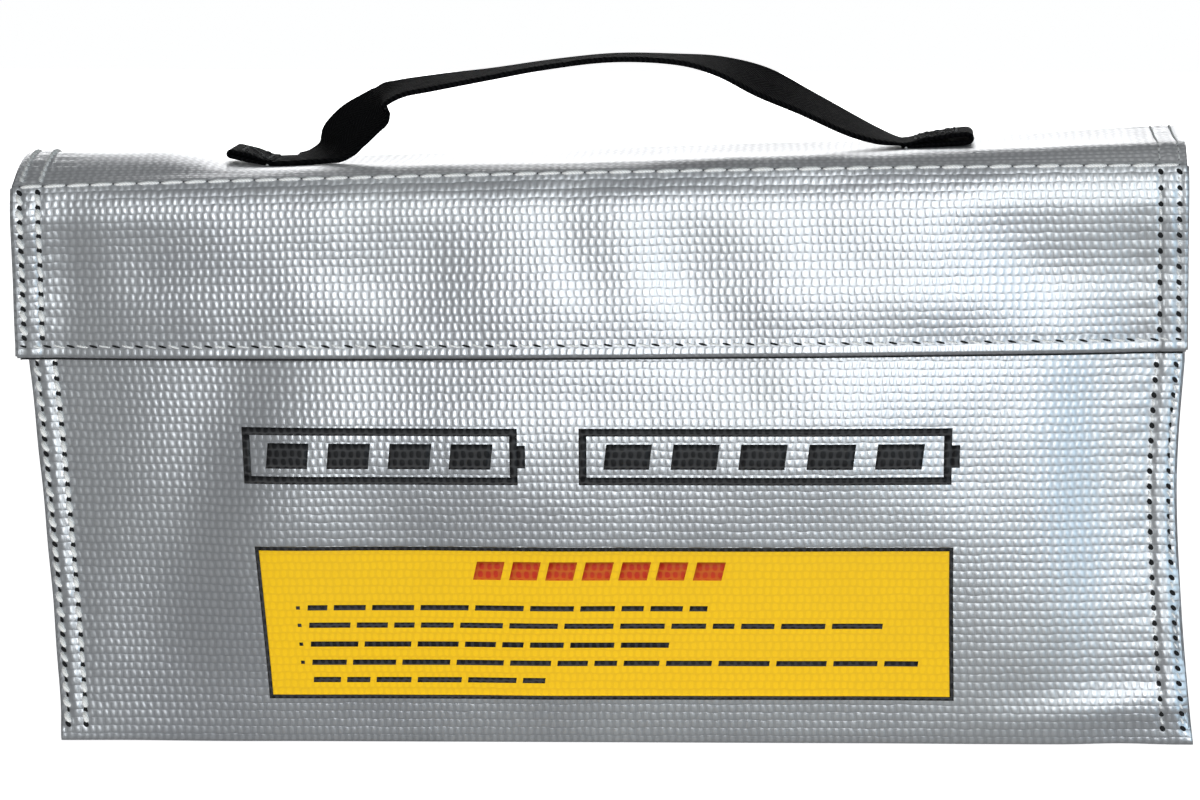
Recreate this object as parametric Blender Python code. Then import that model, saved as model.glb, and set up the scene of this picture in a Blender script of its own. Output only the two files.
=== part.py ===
"""Fire-resistant storage bag for model batteries, as a Blender script.

A gusseted bag of coated glass cloth stands on its flat bottom. A lid hinges along the top of the
back, a flap hangs from the lid's front edge and closes on hook-and-loop tape, and a webbing
handle is sewn to the lid. Units are metres, +Z is up, the front faces -Y, and the origin is the
middle of the underside.
"""

from typing import Callable

import bmesh
import bpy
from mathutils import Matrix, Vector
from mathutils.geometry import interpolate_bezier

# Body of the bag
BODY_WIDTH = 0.232  # across the sewn edges
BODY_HEIGHT = 0.116
BODY_DEPTH = 0.065  # at the sewn edges
FLANGE = 0.0065  # width of a sewn edge, outside the gusset
FRONT_BULGE = 0.006  # how far the middle of the front stands proud
BACK_BULGE = 0.003
CREASE_TOP = 0.009  # how far a gusset's middle folds in at the mouth
CREASE_FLOOR = 0.0015  # and at the floor

# Lid and flap
LID_WIDTH = 0.240
LID_REAR_REACH = 0.0017  # how far the lid's rear edge stands behind the body
FLAP_DROP = 0.0365

# Cloth, tape and thread
CLOTH = 0.0009
LINING = 0.0005
TAPE_THICKNESS = 0.0012  # the hook tape and the loop tape alike
TAPE_WIDTH = 0.020
TAPE_LENGTH = 0.200
TAPE_ABOVE_HEM = 0.005  # from the flap's hem to the tapes' lower edge
THREAD = 0.0005
FIT = 0.0003  # gap between pieces that touch
ROW_OUTER = 0.0016  # from a sewn edge to its outer row
ROW_INNER = 0.0054  # and to its inner row
ROW_END = 0.003  # where a row stops short of the cloth's end
HEM_ROW = 0.002  # from the hem or the mouth to its row
RIDGE_ROW = 0.0015  # from the ridge to its row

# Prints on the front
LABEL_WIDTH = 0.1435
LABEL_HEIGHT = 0.031
LABEL_BOTTOM = 0.009
TITLE_WIDTH = 0.146
TITLE_HEIGHT = 0.0112
TITLE_BOTTOM = 0.0525
FILM = 0.0002

# Handle
WEBBING_WIDTH = 0.020
WEBBING = 0.0012
SEWN_LEFT = -0.067  # where the strap leaves its left end
SEWN_RIGHT = 0.062
TAIL_LENGTH = 0.0125
TAIL_THICKNESS = 0.0016
PINCH_WIDTH = 0.008  # the webbing's width where it is gathered
SWING_HEIGHT = 0.005  # the swing axis, above the lid
HANDLE_RISE = 0.0205  # the strap's highest point, above the lid
PEAK_X = 0.013
SHOULDER_X = -0.046
SHOULDER_SHARE = 0.50  # height of the left shoulder, between the axis and the peak
STRAP_GAP = 0.0024  # between the strap and the end that it swings on
TAPER_RISE = 0.008  # height in which the strap opens to its full width
PATCH_LENGTH = 0.017
PATCH_WIDTH = 0.022
PATCH = 0.001

# Worked out from the sizes above
HALF_WIDTH = BODY_WIDTH / 2
HALF_DEPTH = BODY_DEPTH / 2
GUSSET_X = HALF_WIDTH - FLANGE  # where a gusset leaves its flange
FLOOR_TOP = CLOTH + FIT
LINING_INSET = CLOTH + FIT
FLAP_STANDOFF = 4 * FIT + 2 * TAPE_THICKNESS + LINING + CLOTH
RIDGE_Y = -(HALF_DEPTH + FLAP_STANDOFF)
REAR_Y = HALF_DEPTH + LID_REAR_REACH
LID_FLOOR = BODY_HEIGHT + 2 * FIT
LID_CLOTH_Z = LID_FLOOR + LINING + FIT
LID_TOP = LID_CLOTH_Z + CLOTH
FLAP_TOP = BODY_HEIGHT
HEM_Z = FLAP_TOP - FLAP_DROP
SWING_Z = LID_TOP + SWING_HEIGHT
TAPE_BOTTOM = HEM_Z + TAPE_ABOVE_HEM

PIVOTS = {
    "lid": Vector((0, REAR_Y + FIT, BODY_HEIGHT + FIT)),
    "flap": Vector((0, RIDGE_Y, BODY_HEIGHT + FIT)),
    "handle": Vector((0, 0, SWING_Z)),
}

Place = Callable[[float, float], Vector]


def clear_scene() -> None:
    """Remove every object of the scene that the script starts in."""
    for found in list(bpy.data.objects):
        bpy.data.objects.remove(found, do_unlink=True)


def finish(name: str, color: tuple, roughness: float, metallic: float) -> bpy.types.Material:
    """Make one plain material."""
    material = bpy.data.materials.new(name)
    material.use_nodes = True
    shader = material.node_tree.nodes["Principled BSDF"]
    shader.inputs["Base Color"].default_value = (*color, 1)
    shader.inputs["Roughness"].default_value = roughness
    shader.inputs["Metallic"].default_value = metallic
    material.diffuse_color = (*color, 1)
    return material


def pivot_empties() -> dict:
    """Make one empty on the axis of each joint, keyed by the body that it carries."""
    empties = {}
    for body, place in PIVOTS.items():
        empty = bpy.data.objects.new(f"{body}_pivot", None)
        empty.location = place
        empty.empty_display_size = 0.01
        bpy.context.scene.collection.objects.link(empty)
        empties[body] = empty
    return empties


def add_piece(name: str, data, material: bpy.types.Material, pivot=None) -> bpy.types.Object:
    """Link one piece and, if it moves, parent it to the empty on its joint's axis."""
    data.materials.append(material)
    piece = bpy.data.objects.new(name, data)
    bpy.context.scene.collection.objects.link(piece)
    if pivot is not None:
        piece.location = -pivot.location
        piece.parent = pivot
    return piece


def sheet(name, columns, rows, place: Place, thickness, material, pivot=None) -> bpy.types.Object:
    """Make a sheet of cloth: a grid with its points at place(u, v), thickened behind its face."""
    cloth = bmesh.new()
    bmesh.ops.create_grid(cloth, x_segments=columns, y_segments=rows, size=0.5)
    for point in cloth.verts:
        point.co = place(point.co.x + 0.5, point.co.y + 0.5)
    mesh = bpy.data.meshes.new(name)
    cloth.to_mesh(mesh)
    cloth.free()
    piece = add_piece(name, mesh, material, pivot)
    wall = piece.modifiers.new("Thickness", "SOLIDIFY")
    wall.thickness = thickness
    wall.offset = -1
    wall.use_even_offset = True
    return piece


def slab(name, low: Vector, high: Vector, material, pivot=None) -> bpy.types.Object:
    """Make a flat rectangular piece between two corners."""
    block = bmesh.new()
    bmesh.ops.create_cube(block, size=1)
    bmesh.ops.scale(block, vec=high - low, verts=block.verts)
    bmesh.ops.translate(block, vec=(low + high) / 2, verts=block.verts)
    mesh = bpy.data.meshes.new(name)
    block.to_mesh(mesh)
    block.free()
    return add_piece(name, mesh, material, pivot)


def thread(name, points: list, material, pivot=None, closed=False) -> bpy.types.Object:
    """Make one row of stitching as a thin cord through the given points."""
    curve = bpy.data.curves.new(name, "CURVE")
    curve.dimensions = "3D"
    curve.bevel_depth = THREAD / 2
    curve.bevel_resolution = 0
    curve.use_fill_caps = not closed
    spline = curve.splines.new("POLY")
    spline.points.add(len(points) - 1)
    for knot, point in zip(spline.points, points):
        knot.co = (*point, 1)
    spline.use_cyclic_u = closed
    return add_piece(name, curve, material, pivot)


def mix(start: float, end: float, share: float) -> float:
    """Return the value at a share of the way from start to end."""
    return start + (end - start) * share


def pillow(x: float, z: float) -> float:
    """Return how full the body stands at a point of its front or back, from 0 to 1."""
    across = min(1.0, abs(x) / GUSSET_X)
    up = 2 * min(1.0, max(0.0, z / BODY_HEIGHT)) - 1
    return (1 - across**2) * (1 - up**2)


def front_y(x: float, z: float, proud: float = 0.0) -> float:
    """Return Y of a surface that lies proud of the front cloth's face."""
    return -(HALF_DEPTH + FRONT_BULGE * pillow(x, z) + proud)


def back_y(x: float, z: float, proud: float = 0.0) -> float:
    """Return Y of a surface that lies proud of the back cloth's face."""
    return HALF_DEPTH + BACK_BULGE * pillow(x, z) + proud


def front_piece(name, half_width, low, high, proud, thickness, material, cells, pivot=None):
    """Make a sheet that follows the front: its face is proud of the front cloth's face."""

    def place(u, v):
        x = mix(-half_width, half_width, u)
        z = mix(low, high, v)
        return Vector((x, front_y(x, z, proud), z))

    return sheet(name, *cells, place, thickness, material, pivot)


def back_piece(name, half_width, low, high, proud, thickness, material, cells):
    """Make a sheet that follows the back."""

    def place(u, v):
        x = mix(half_width, -half_width, u)
        z = mix(low, high, v)
        return Vector((x, back_y(x, z, proud), z))

    return sheet(name, *cells, place, thickness, material)


def crease(z: float) -> float:
    """Return how far a gusset's middle is folded in at a height."""
    return mix(CREASE_FLOOR, CREASE_TOP, z / BODY_HEIGHT)


def gusset(name, side, material) -> bpy.types.Object:
    """Make a gusset: two halves that meet in a crease, with edges turned out along the seams."""
    seam_y = HALF_DEPTH - CLOTH - FIT
    flange_y = seam_y - CLOTH

    def place(u, v):
        z = mix(FLOOR_TOP, BODY_HEIGHT, v)
        corners = (
            (HALF_WIDTH, -flange_y),
            (GUSSET_X, -flange_y),
            (GUSSET_X - crease(z), 0),
            (GUSSET_X, flange_y),
            (HALF_WIDTH, flange_y),
        )
        x, y = corners[round(u * (len(corners) - 1))]
        return Vector((side * x, side * y, z))

    piece = sheet(name, 4, 6, place, CLOTH, material)
    foot = slab(
        f"{name}_foot",
        Vector((GUSSET_X - CREASE_FLOOR - CLOTH, -seam_y, FLOOR_TOP)),
        Vector((HALF_WIDTH, seam_y, FLOOR_TOP + CLOTH)),
        material,
    )
    foot.data.transform(Matrix.Diagonal((side, side, 1, 1)))
    foot.hide_render = True
    foot.display_type = "WIRE"
    join = piece.modifiers.new("Foot", "BOOLEAN")
    join.operation = "UNION"
    join.solver = "EXACT"
    join.object = foot
    return piece


def side_lining(name, side, material) -> bpy.types.Object:
    """Make the lining behind a gusset, which follows the same crease."""
    half_depth = HALF_DEPTH - LINING_INSET - LINING - FIT
    inset = CLOTH * 1.1 + 2 * FIT
    low = FLOOR_TOP + CLOTH + FIT

    def place(u, v):
        z = mix(low, BODY_HEIGHT - FIT, v)
        x = GUSSET_X - inset - crease(z) * (1 - abs(2 * u - 1))
        return Vector((side * x, side * mix(-half_depth, half_depth, u), z))

    return sheet(name, 2, 6, place, LINING, material)


def build_body(cloth, lining, tape, white, yellow, black) -> None:
    """Build the pouch: panels, gussets, linings, loop tape, prints and seam threads."""
    panel = (16, 10)
    front_piece("front_panel", HALF_WIDTH, FLOOR_TOP, BODY_HEIGHT, 0, CLOTH, cloth, panel)
    back_piece("back_panel", HALF_WIDTH, FLOOR_TOP, BODY_HEIGHT, 0, CLOTH, cloth, panel)
    corner = Vector((HALF_WIDTH, HALF_DEPTH, 0))
    slab("bottom_panel", -corner, corner + Vector((0, 0, CLOTH)), cloth)

    lining_width = GUSSET_X - CLOTH - 2 * FIT
    lining_low = FLOOR_TOP + CLOTH + FIT
    lining_high = BODY_HEIGHT - FIT
    inner = (-LINING_INSET, LINING, lining, (12, 8))
    front_piece("lining_front", lining_width, lining_low, lining_high, *inner)
    back_piece("lining_back", lining_width, lining_low, lining_high, *inner)
    floor_x = GUSSET_X - CREASE_FLOOR - CLOTH - LINING - 4 * FIT
    floor_y = HALF_DEPTH - LINING_INSET - FIT
    slab(
        "lining_bottom",
        Vector((-floor_x, -floor_y, FLOOR_TOP)),
        Vector((floor_x, floor_y, FLOOR_TOP + LINING)),
        lining,
    )

    rows = (("outer", ROW_OUTER), ("inner", ROW_INNER))
    for side_name, side in (("left", -1), ("right", 1)):
        gusset(f"gusset_{side_name}", side, cloth)
        side_lining(f"lining_{side_name}", side, lining)
        for face_name, face in (("front", -1), ("rear", 1)):
            for row_name, inset in rows:
                x = side * (HALF_WIDTH - inset)
                y = face * (HALF_DEPTH + FIT + THREAD / 2)
                ends = (FLOOR_TOP + ROW_END, BODY_HEIGHT - ROW_END)
                name = f"seam_thread_{side_name}_{face_name}_{row_name}"
                thread(name, [(x, y, z) for z in ends], white)

    loop_high = TAPE_BOTTOM + TAPE_WIDTH
    loop = (FIT + TAPE_THICKNESS, TAPE_THICKNESS, tape, (12, 3))
    front_piece("loop_tape", TAPE_LENGTH / 2, TAPE_BOTTOM, loop_high, *loop)
    tape_row = loop_high + THREAD + FIT
    front_thread("loop_tape_thread", TAPE_LENGTH / 2, tape_row, FIT, black)
    front_thread("mouth_thread", GUSSET_X - ROW_END, BODY_HEIGHT - HEM_ROW, FIT, white)

    film = (FIT + FILM, FILM)
    label = (LABEL_WIDTH / 2, LABEL_BOTTOM, LABEL_BOTTOM + LABEL_HEIGHT)
    front_piece("label_print", *label, *film, yellow, (10, 3))
    title = (TITLE_WIDTH / 2, TITLE_BOTTOM, TITLE_BOTTOM + TITLE_HEIGHT)
    front_piece("title_print", *title, *film, black, (10, 2))


def front_thread(name, half_length, z, proud, material, pivot=None) -> bpy.types.Object:
    """Make a level row of stitching that follows the front."""
    count = 13
    points = []
    for step in range(count):
        x = mix(-half_length, half_length, step / (count - 1))
        points.append((x, front_y(x, z, proud + THREAD / 2), z))
    return thread(name, points, material, pivot)


def edge_rows(body: str, points_at: Callable, material, pivot) -> None:
    """Make the double rows along both side edges of the lid or the flap."""
    for side_name, side in (("left", -1), ("right", 1)):
        for row_name, inset in (("outer", ROW_OUTER), ("inner", ROW_INNER)):
            x = side * (LID_WIDTH / 2 - inset)
            name = f"{body}_thread_{side_name}_{row_name}"
            thread(name, points_at(x), material, pivot)


def build_lid(cloth, lining, webbing, white, black, pivot) -> None:
    """Build the lid with the ends of the handle, their stitches and their backing patches."""
    half = LID_WIDTH / 2
    slab("lid_panel", Vector((-half, RIDGE_Y, LID_CLOTH_Z)), Vector((half, REAR_Y, LID_TOP)), cloth, pivot)
    inset = ROW_INNER + THREAD
    low = Vector((-half + inset, RIDGE_Y + inset, LID_FLOOR))
    high = Vector((half - inset, REAR_Y - inset, LID_FLOOR + LINING))
    slab("lid_lining", low, high, lining, pivot)
    row_z = LID_TOP + FIT + THREAD / 2
    row_ends = (RIDGE_Y + ROW_END, REAR_Y - ROW_END)
    edge_rows("lid", lambda x: [(x, y, row_z) for y in row_ends], white, pivot)

    patch_top = LID_FLOOR - FIT
    for side_name, side, sewn in (("left", -1, SEWN_LEFT), ("right", 1, SEWN_RIGHT)):
        middle = sewn + side * PATCH_LENGTH / 2
        low = Vector((middle - PATCH_LENGTH / 2, -PATCH_WIDTH / 2, patch_top - PATCH))
        high = Vector((middle + PATCH_LENGTH / 2, PATCH_WIDTH / 2, patch_top))
        slab(f"handle_patch_{side_name}", low, high, webbing, pivot)
        handle_tail(f"handle_tail_{side_name}", side, sewn, webbing, pivot)
        stitch = tail_stitch(side, sewn)
        thread(f"tail_thread_{side_name}", stitch, black, pivot, closed=True)


def tail_half_width(share: float) -> float:
    """Return half the width of a handle's end, from its free end at 0 to its neck at 1."""
    gathered = min(1.0, max(0.0, (share - 0.25) / 0.5))
    return mix(WEBBING_WIDTH, PINCH_WIDTH, gathered) / 2


def handle_tail(name, side, sewn, material, pivot) -> bpy.types.Object:
    """Make a sewn end: it lies on the lid, then its gathered neck rises to the swing axis."""
    top = LID_TOP + FIT + TAIL_THICKNESS
    neck = sewn + side * 0.2 * TAIL_LENGTH
    path = (
        (sewn + side * TAIL_LENGTH, top),
        (mix(sewn + side * TAIL_LENGTH, neck, 0.5), top),
        (neck, top),
        (sewn + side * 0.05 * TAIL_LENGTH, mix(top, SWING_Z, 0.55)),
        (sewn, SWING_Z + TAIL_THICKNESS / 2),
    )

    def place(u, v):
        x, z = path[round(u * (len(path) - 1))]
        y = side * (0.5 - v) * 2 * tail_half_width(u)
        return Vector((x, y, z))

    return sheet(name, 4, 2, place, TAIL_THICKNESS, material, pivot)


def tail_stitch(side, sewn) -> list:
    """Return the corners of the box stitch on a handle's end."""
    z = LID_TOP + 2 * FIT + TAIL_THICKNESS + THREAD / 2
    outer = sewn + side * (TAIL_LENGTH - ROW_OUTER)
    inner = sewn + side * TAIL_LENGTH * 0.5
    wide = WEBBING_WIDTH / 2 - 2 * ROW_OUTER
    narrow = PINCH_WIDTH / 2
    return [(outer, -wide, z), (outer, wide, z), (inner, narrow, z), (inner, -narrow, z)]


def build_flap(cloth, lining, tape, white, black, pivot) -> None:
    """Build the flap with its facing, its hook tape and its rows of stitching."""
    proud = FLAP_STANDOFF
    half = LID_WIDTH / 2
    cells = (16, 4)
    front_piece("flap_panel", half, HEM_Z, FLAP_TOP, proud, CLOTH, cloth, cells, pivot)
    facing = proud - CLOTH - FIT
    inset = ROW_INNER + THREAD
    facing_top = FLAP_TOP - inset
    front_piece("flap_lining", half - inset, HEM_Z + HEM_ROW, facing_top, facing, LINING, lining, cells, pivot)
    hook = facing - LINING - FIT
    hook_top = TAPE_BOTTOM + TAPE_WIDTH
    front_piece("hook_tape", TAPE_LENGTH / 2, TAPE_BOTTOM, hook_top, hook, TAPE_THICKNESS, tape, (12, 3), pivot)

    def points_at(x):
        return [
            (x, front_y(x, z, proud + FIT + THREAD / 2), z)
            for z in (HEM_Z + ROW_END, FLAP_TOP - ROW_END)
        ]

    edge_rows("flap", points_at, white, pivot)
    row_half = half - ROW_INNER - 2 * THREAD
    front_thread("hem_thread", row_half, HEM_Z + HEM_ROW, proud + FIT, white, pivot)
    front_thread("ridge_thread", row_half, FLAP_TOP - RIDGE_ROW, proud + FIT, white, pivot)
    hook_row = hook_top + THREAD + FIT
    front_thread("hook_tape_thread", TAPE_LENGTH / 2, hook_row, hook - THREAD, black, pivot)


def strap_path(steps: int) -> list:
    """Return the middle line of the strap's top face as (x, z) points, from left to right."""
    start = Vector((SEWN_LEFT + STRAP_GAP, SWING_Z))
    end = Vector((SEWN_RIGHT - STRAP_GAP, SWING_Z))
    peak = Vector((PEAK_X, LID_TOP + HANDLE_RISE))
    shoulder = Vector((SHOULDER_X, mix(SWING_Z, peak.y, SHOULDER_SHARE)))
    climb = Vector((1, 1.1)) * (shoulder.x - start.x) * 0.4
    bend = Vector((shoulder.x - start.x, (peak.y - shoulder.y) * 0.4)) * 0.45
    crown = Vector(((peak.x - shoulder.x) * 0.4, 0))
    fall = Vector((end.x - peak.x, 0)) * 0.35
    foot = Vector((-1, 0.55)) * (end.x - peak.x) * 0.35
    spans = (
        (start, start + climb, shoulder - bend, shoulder),
        (shoulder, shoulder + bend, peak - crown, peak),
        (peak, peak + fall, end + foot, end),
    )
    path = []
    for knots in spans:
        path += interpolate_bezier(*knots, steps + 1)[:-1]
    return path + [end]


def build_handle(webbing, pivot) -> None:
    """Build the strap, which is gathered at both ends and flat in between."""
    path = strap_path(8)

    def place(u, v):
        x, z = path[round(u * (len(path) - 1))]
        opened = min(1.0, max(0.0, (z - SWING_Z) / TAPER_RISE))
        half = mix(PINCH_WIDTH, WEBBING_WIDTH, opened) / 2
        return Vector((x, mix(-half, half, v), z + WEBBING / 2))

    sheet("handle_strap", len(path) - 1, 2, place, WEBBING, webbing, pivot)


def main() -> None:
    """Build the whole bag."""
    clear_scene()
    silver = finish("silver_cloth", (0.60, 0.61, 0.63), 0.42, 0.55)
    lining = finish("lining_cloth", (0.72, 0.72, 0.70), 0.75, 0.0)
    tape = finish("fastening_tape", (0.03, 0.03, 0.035), 0.95, 0.0)
    webbing = finish("black_webbing", (0.02, 0.02, 0.022), 0.8, 0.0)
    white = finish("white_thread", (0.85, 0.85, 0.83), 0.6, 0.0)
    black = finish("black_ink", (0.015, 0.015, 0.015), 0.5, 0.0)
    yellow = finish("yellow_ink", (0.95, 0.58, 0.02), 0.5, 0.0)
    pivots = pivot_empties()
    build_body(silver, lining, tape, white, yellow, black)
    build_lid(silver, lining, webbing, white, black, pivots["lid"])
    build_flap(silver, lining, tape, white, black, pivots["flap"])
    build_handle(webbing, pivots["handle"])


main()
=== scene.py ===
"""A silver battery storage bag, dressed in cloth, tape, webbing and thread around its frame.

The bag is one strip of coated glass cloth (front, floor, back, lid and flap) sewn to a creased
gusset at each end. Every sheet is a ClothGrid: a pattern measured flat in metres, with the place of
each of its points. Stitches, prints, tapes and linings are all laid on those grids, so they follow
each bulge, dent and pucker of the cloth under them.
"""

import logging
import math
from dataclasses import dataclass, field
from enum import Enum
from typing import Callable

import bmesh
import bpy
import numpy as np
from mathutils import Matrix, Vector, noise

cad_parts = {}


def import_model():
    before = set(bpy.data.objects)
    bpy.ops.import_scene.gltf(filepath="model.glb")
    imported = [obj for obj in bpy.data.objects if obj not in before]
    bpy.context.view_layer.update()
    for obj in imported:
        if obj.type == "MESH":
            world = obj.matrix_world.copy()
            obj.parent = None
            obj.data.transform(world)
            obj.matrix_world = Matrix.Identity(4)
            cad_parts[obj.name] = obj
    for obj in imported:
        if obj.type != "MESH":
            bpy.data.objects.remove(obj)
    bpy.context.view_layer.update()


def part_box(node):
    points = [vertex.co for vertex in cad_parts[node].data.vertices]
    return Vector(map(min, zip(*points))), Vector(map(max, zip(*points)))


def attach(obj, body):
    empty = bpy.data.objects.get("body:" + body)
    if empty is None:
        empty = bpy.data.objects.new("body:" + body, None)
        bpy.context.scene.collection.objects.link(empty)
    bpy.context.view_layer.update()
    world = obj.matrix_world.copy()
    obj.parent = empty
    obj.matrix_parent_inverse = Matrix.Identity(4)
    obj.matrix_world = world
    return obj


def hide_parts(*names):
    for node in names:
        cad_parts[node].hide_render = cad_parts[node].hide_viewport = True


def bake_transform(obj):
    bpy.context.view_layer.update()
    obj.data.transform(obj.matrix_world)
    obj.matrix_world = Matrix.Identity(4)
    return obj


log = logging.getLogger("storage_bag")

CLOTH_MAP = "Cloth"
STITCH_PITCH = 0.0031
HEM_PITCH = 0.0048
CLOTH = 0.00055
LINING = 0.0004
LINING_GAP = 0.0003
GUSSET_X = 0.1095
SIDES = (("left", -1), ("right", 1))
SEAM_ROWS = (("outer", 0.0016), ("inner", 0.0054))


# ---------------------------------------------------------------- small tools


def smooth(value: np.ndarray | float, low: float, high: float) -> np.ndarray:
    """Return an eased step from 0 at low to 1 at high."""
    share = np.clip((np.asarray(value, float) - low) / (high - low), 0, 1)
    return share * share * (3 - 2 * share)


def rumple(points: np.ndarray, size: float, seed: float) -> np.ndarray:
    """Return smooth noise in -1 to 1 at each point.

    Args:
        points: Places, in metres, with x, y and z in the last axis.
        size: Width of a typical lump, in metres.
        seed: Moves the noise, so that two sheets don't match.

    Returns:
        One value for each point.
    """
    flat = points.reshape(-1, 3) / size + seed
    values = [noise.noise(Vector(point)) for point in flat]
    return np.array(values).reshape(points.shape[:-1])


def deselect() -> None:
    """Deselect everything, so that an operator acts on the new piece only."""
    if bpy.context.mode != "OBJECT":
        bpy.ops.object.mode_set(mode="OBJECT")
    bpy.ops.object.select_all(action="DESELECT")


def apply_modifiers(piece: bpy.types.Object) -> None:
    """Apply all modifiers of a piece, in order."""
    deselect()
    bpy.context.view_layer.objects.active = piece
    piece.select_set(True)
    for modifier in list(piece.modifiers):
        bpy.ops.object.modifier_apply(modifier=modifier.name)
    deselect()


def link(name: str, mesh: bpy.types.Mesh) -> bpy.types.Object:
    """Put a mesh in the scene as a smooth-shaded piece."""
    piece = bpy.data.objects.new(name, mesh)
    bpy.context.scene.collection.objects.link(piece)
    mesh.shade_smooth()
    return piece


def tagged(piece: bpy.types.Object, slot: str, *nodes: str) -> bpy.types.Object:
    """Hide the frame's nodes that a piece stands for, and log how many faces it has."""
    if nodes:
        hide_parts(*nodes)
    log.info("%s: %d faces", piece.name, len(piece.data.polygons))
    return piece


def corners_of(node: str) -> tuple:
    """Return the lowest and the highest corner of a node of the frame."""
    low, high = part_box(node)
    return np.array(low), np.array(high)


def way_out(azimuth: float, elevation: float) -> Vector:
    """Return the way out from the bag, with azimuth 0 straight out of its front."""
    a, e = math.radians(azimuth), math.radians(elevation)
    return Vector((math.sin(a) * math.cos(e), -math.cos(a) * math.cos(e), math.sin(e)))


def quads_of(rows: int, columns: int, first: int = 0) -> np.ndarray:
    """Return the four corners of each face of a grid of points."""
    index = np.arange(rows * columns).reshape(rows, columns) + first
    corners = [index[:-1, :-1], index[:-1, 1:], index[1:, 1:], index[1:, :-1]]
    return np.stack(corners, axis=-1).reshape(-1, 4)


def thicken(piece: bpy.types.Object, thickness: float) -> None:
    """Give a sheet its thickness, behind its outer face."""
    wall = piece.modifiers.new("Wall", "SOLIDIFY")
    wall.thickness = thickness
    wall.offset = -1
    apply_modifiers(piece)


def refine(piece: bpy.types.Object) -> None:
    """Round a piece by one subdivision."""
    finer = piece.modifiers.new("Finer", "SUBSURF")
    finer.levels = finer.render_levels = 1
    apply_modifiers(piece)


def frame_of(left: float, bottom: float, right: float, top: float, line: float) -> list:
    """Return the four bars of a rectangular frame, as blocks for Prints.stamp."""
    return [
        (left, bottom, right, bottom + line, 0),
        (left, top - line, right, top, 0),
        (left, bottom + line, left + line, top - line, 0),
        (right - line, bottom + line, right, top - line, 0),
    ]


def ring_of(low: tuple, high: tuple, inset: float) -> np.ndarray:
    """Return the closed path of a row sewn just inside a rectangle's edge."""
    left, bottom = low[0] + inset, low[1] + inset
    right, top = high[0] - inset, high[1] - inset
    return np.array([(left, bottom), (right, bottom), (right, top), (left, top), (left, bottom)])


# ---------------------------------------------------------------- finishes


class Graph:
    """A material's node tree, with short calls for the nodes used here."""

    def __init__(self, name: str) -> None:
        """Start a material of that name with a bare Principled shader."""
        self.material = bpy.data.materials.new(name)
        self.material.use_nodes = True
        self.tree = self.material.node_tree
        self.shader = self.tree.nodes["Principled BSDF"]

    def node(self, kind: str, **settings) -> bpy.types.Node:
        """Add a node and set its properties."""
        made = self.tree.nodes.new(kind)
        for key, value in settings.items():
            setattr(made, key, value)
        return made

    def feed(self, socket: bpy.types.NodeSocket, value) -> None:
        """Link or set one input."""
        if isinstance(value, bpy.types.NodeSocket):
            self.tree.links.new(value, socket)
        else:
            socket.default_value = value

    def math(self, operation: str, first, second=0.0, third=0.0) -> bpy.types.NodeSocket:
        """Add a Math node and return its result."""
        made = self.node("ShaderNodeMath", operation=operation)
        for socket, value in zip(made.inputs, (first, second, third)):
            self.feed(socket, value)
        return made.outputs[0]

    def blend(self, share, low: tuple, high: tuple) -> bpy.types.NodeSocket:
        """Mix two colours or colour sockets and return the result."""
        made = self.node("ShaderNodeMix", data_type="RGBA")
        self.feed(made.inputs["Factor"], share)
        for socket, value in ((made.inputs[6], low), (made.inputs[7], high)):
            self.feed(socket, (*value, 1) if isinstance(value, tuple) else value)
        return made.outputs[2]

    def ramp(self, value, low: float, high: float, floor=0.0, top=1.0) -> bpy.types.NodeSocket:
        """Map a value from low..high to floor..top, clamped."""
        made = self.node("ShaderNodeMapRange")
        for name, number in (
            ("Value", value),
            ("From Min", low),
            ("From Max", high),
            ("To Min", floor),
            ("To Max", top),
        ):
            self.feed(made.inputs[name], number)
        return made.outputs[0]

    def lumps(self, vector, scale: float, detail=2.0, rough=0.5) -> bpy.types.NodeSocket:
        """Add a noise texture and return its value."""
        made = self.node("ShaderNodeTexNoise")
        self.feed(made.inputs["Vector"], vector)
        made.inputs["Scale"].default_value = scale
        made.inputs["Detail"].default_value = detail
        made.inputs["Roughness"].default_value = rough
        return made.outputs["Fac"]

    def place(self) -> bpy.types.NodeSocket:
        """Return the Object coordinates."""
        return self.node("ShaderNodeTexCoord").outputs["Object"]

    def pattern(self) -> tuple:
        """Return the flat coordinates of the cloth, across and along, in metres."""
        split = self.node("ShaderNodeSeparateXYZ")
        self.feed(split.inputs[0], self.node("ShaderNodeUVMap", uv_map=CLOTH_MAP).outputs[0])
        return split.outputs[0], split.outputs[1]

    def bump(self, height, distance: float, strength=1.0) -> None:
        """Drive the shader's normal from a height."""
        made = self.node("ShaderNodeBump")
        made.inputs["Distance"].default_value = distance
        made.inputs["Strength"].default_value = strength
        self.feed(made.inputs["Height"], height)
        self.feed(self.shader.inputs["Normal"], made.outputs[0])

    def set(self, **values) -> None:
        """Set sockets of the shader by name, with _ for each space."""
        for name, value in values.items():
            self.feed(self.shader.inputs[name.replace("_", " ")], value)


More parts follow.
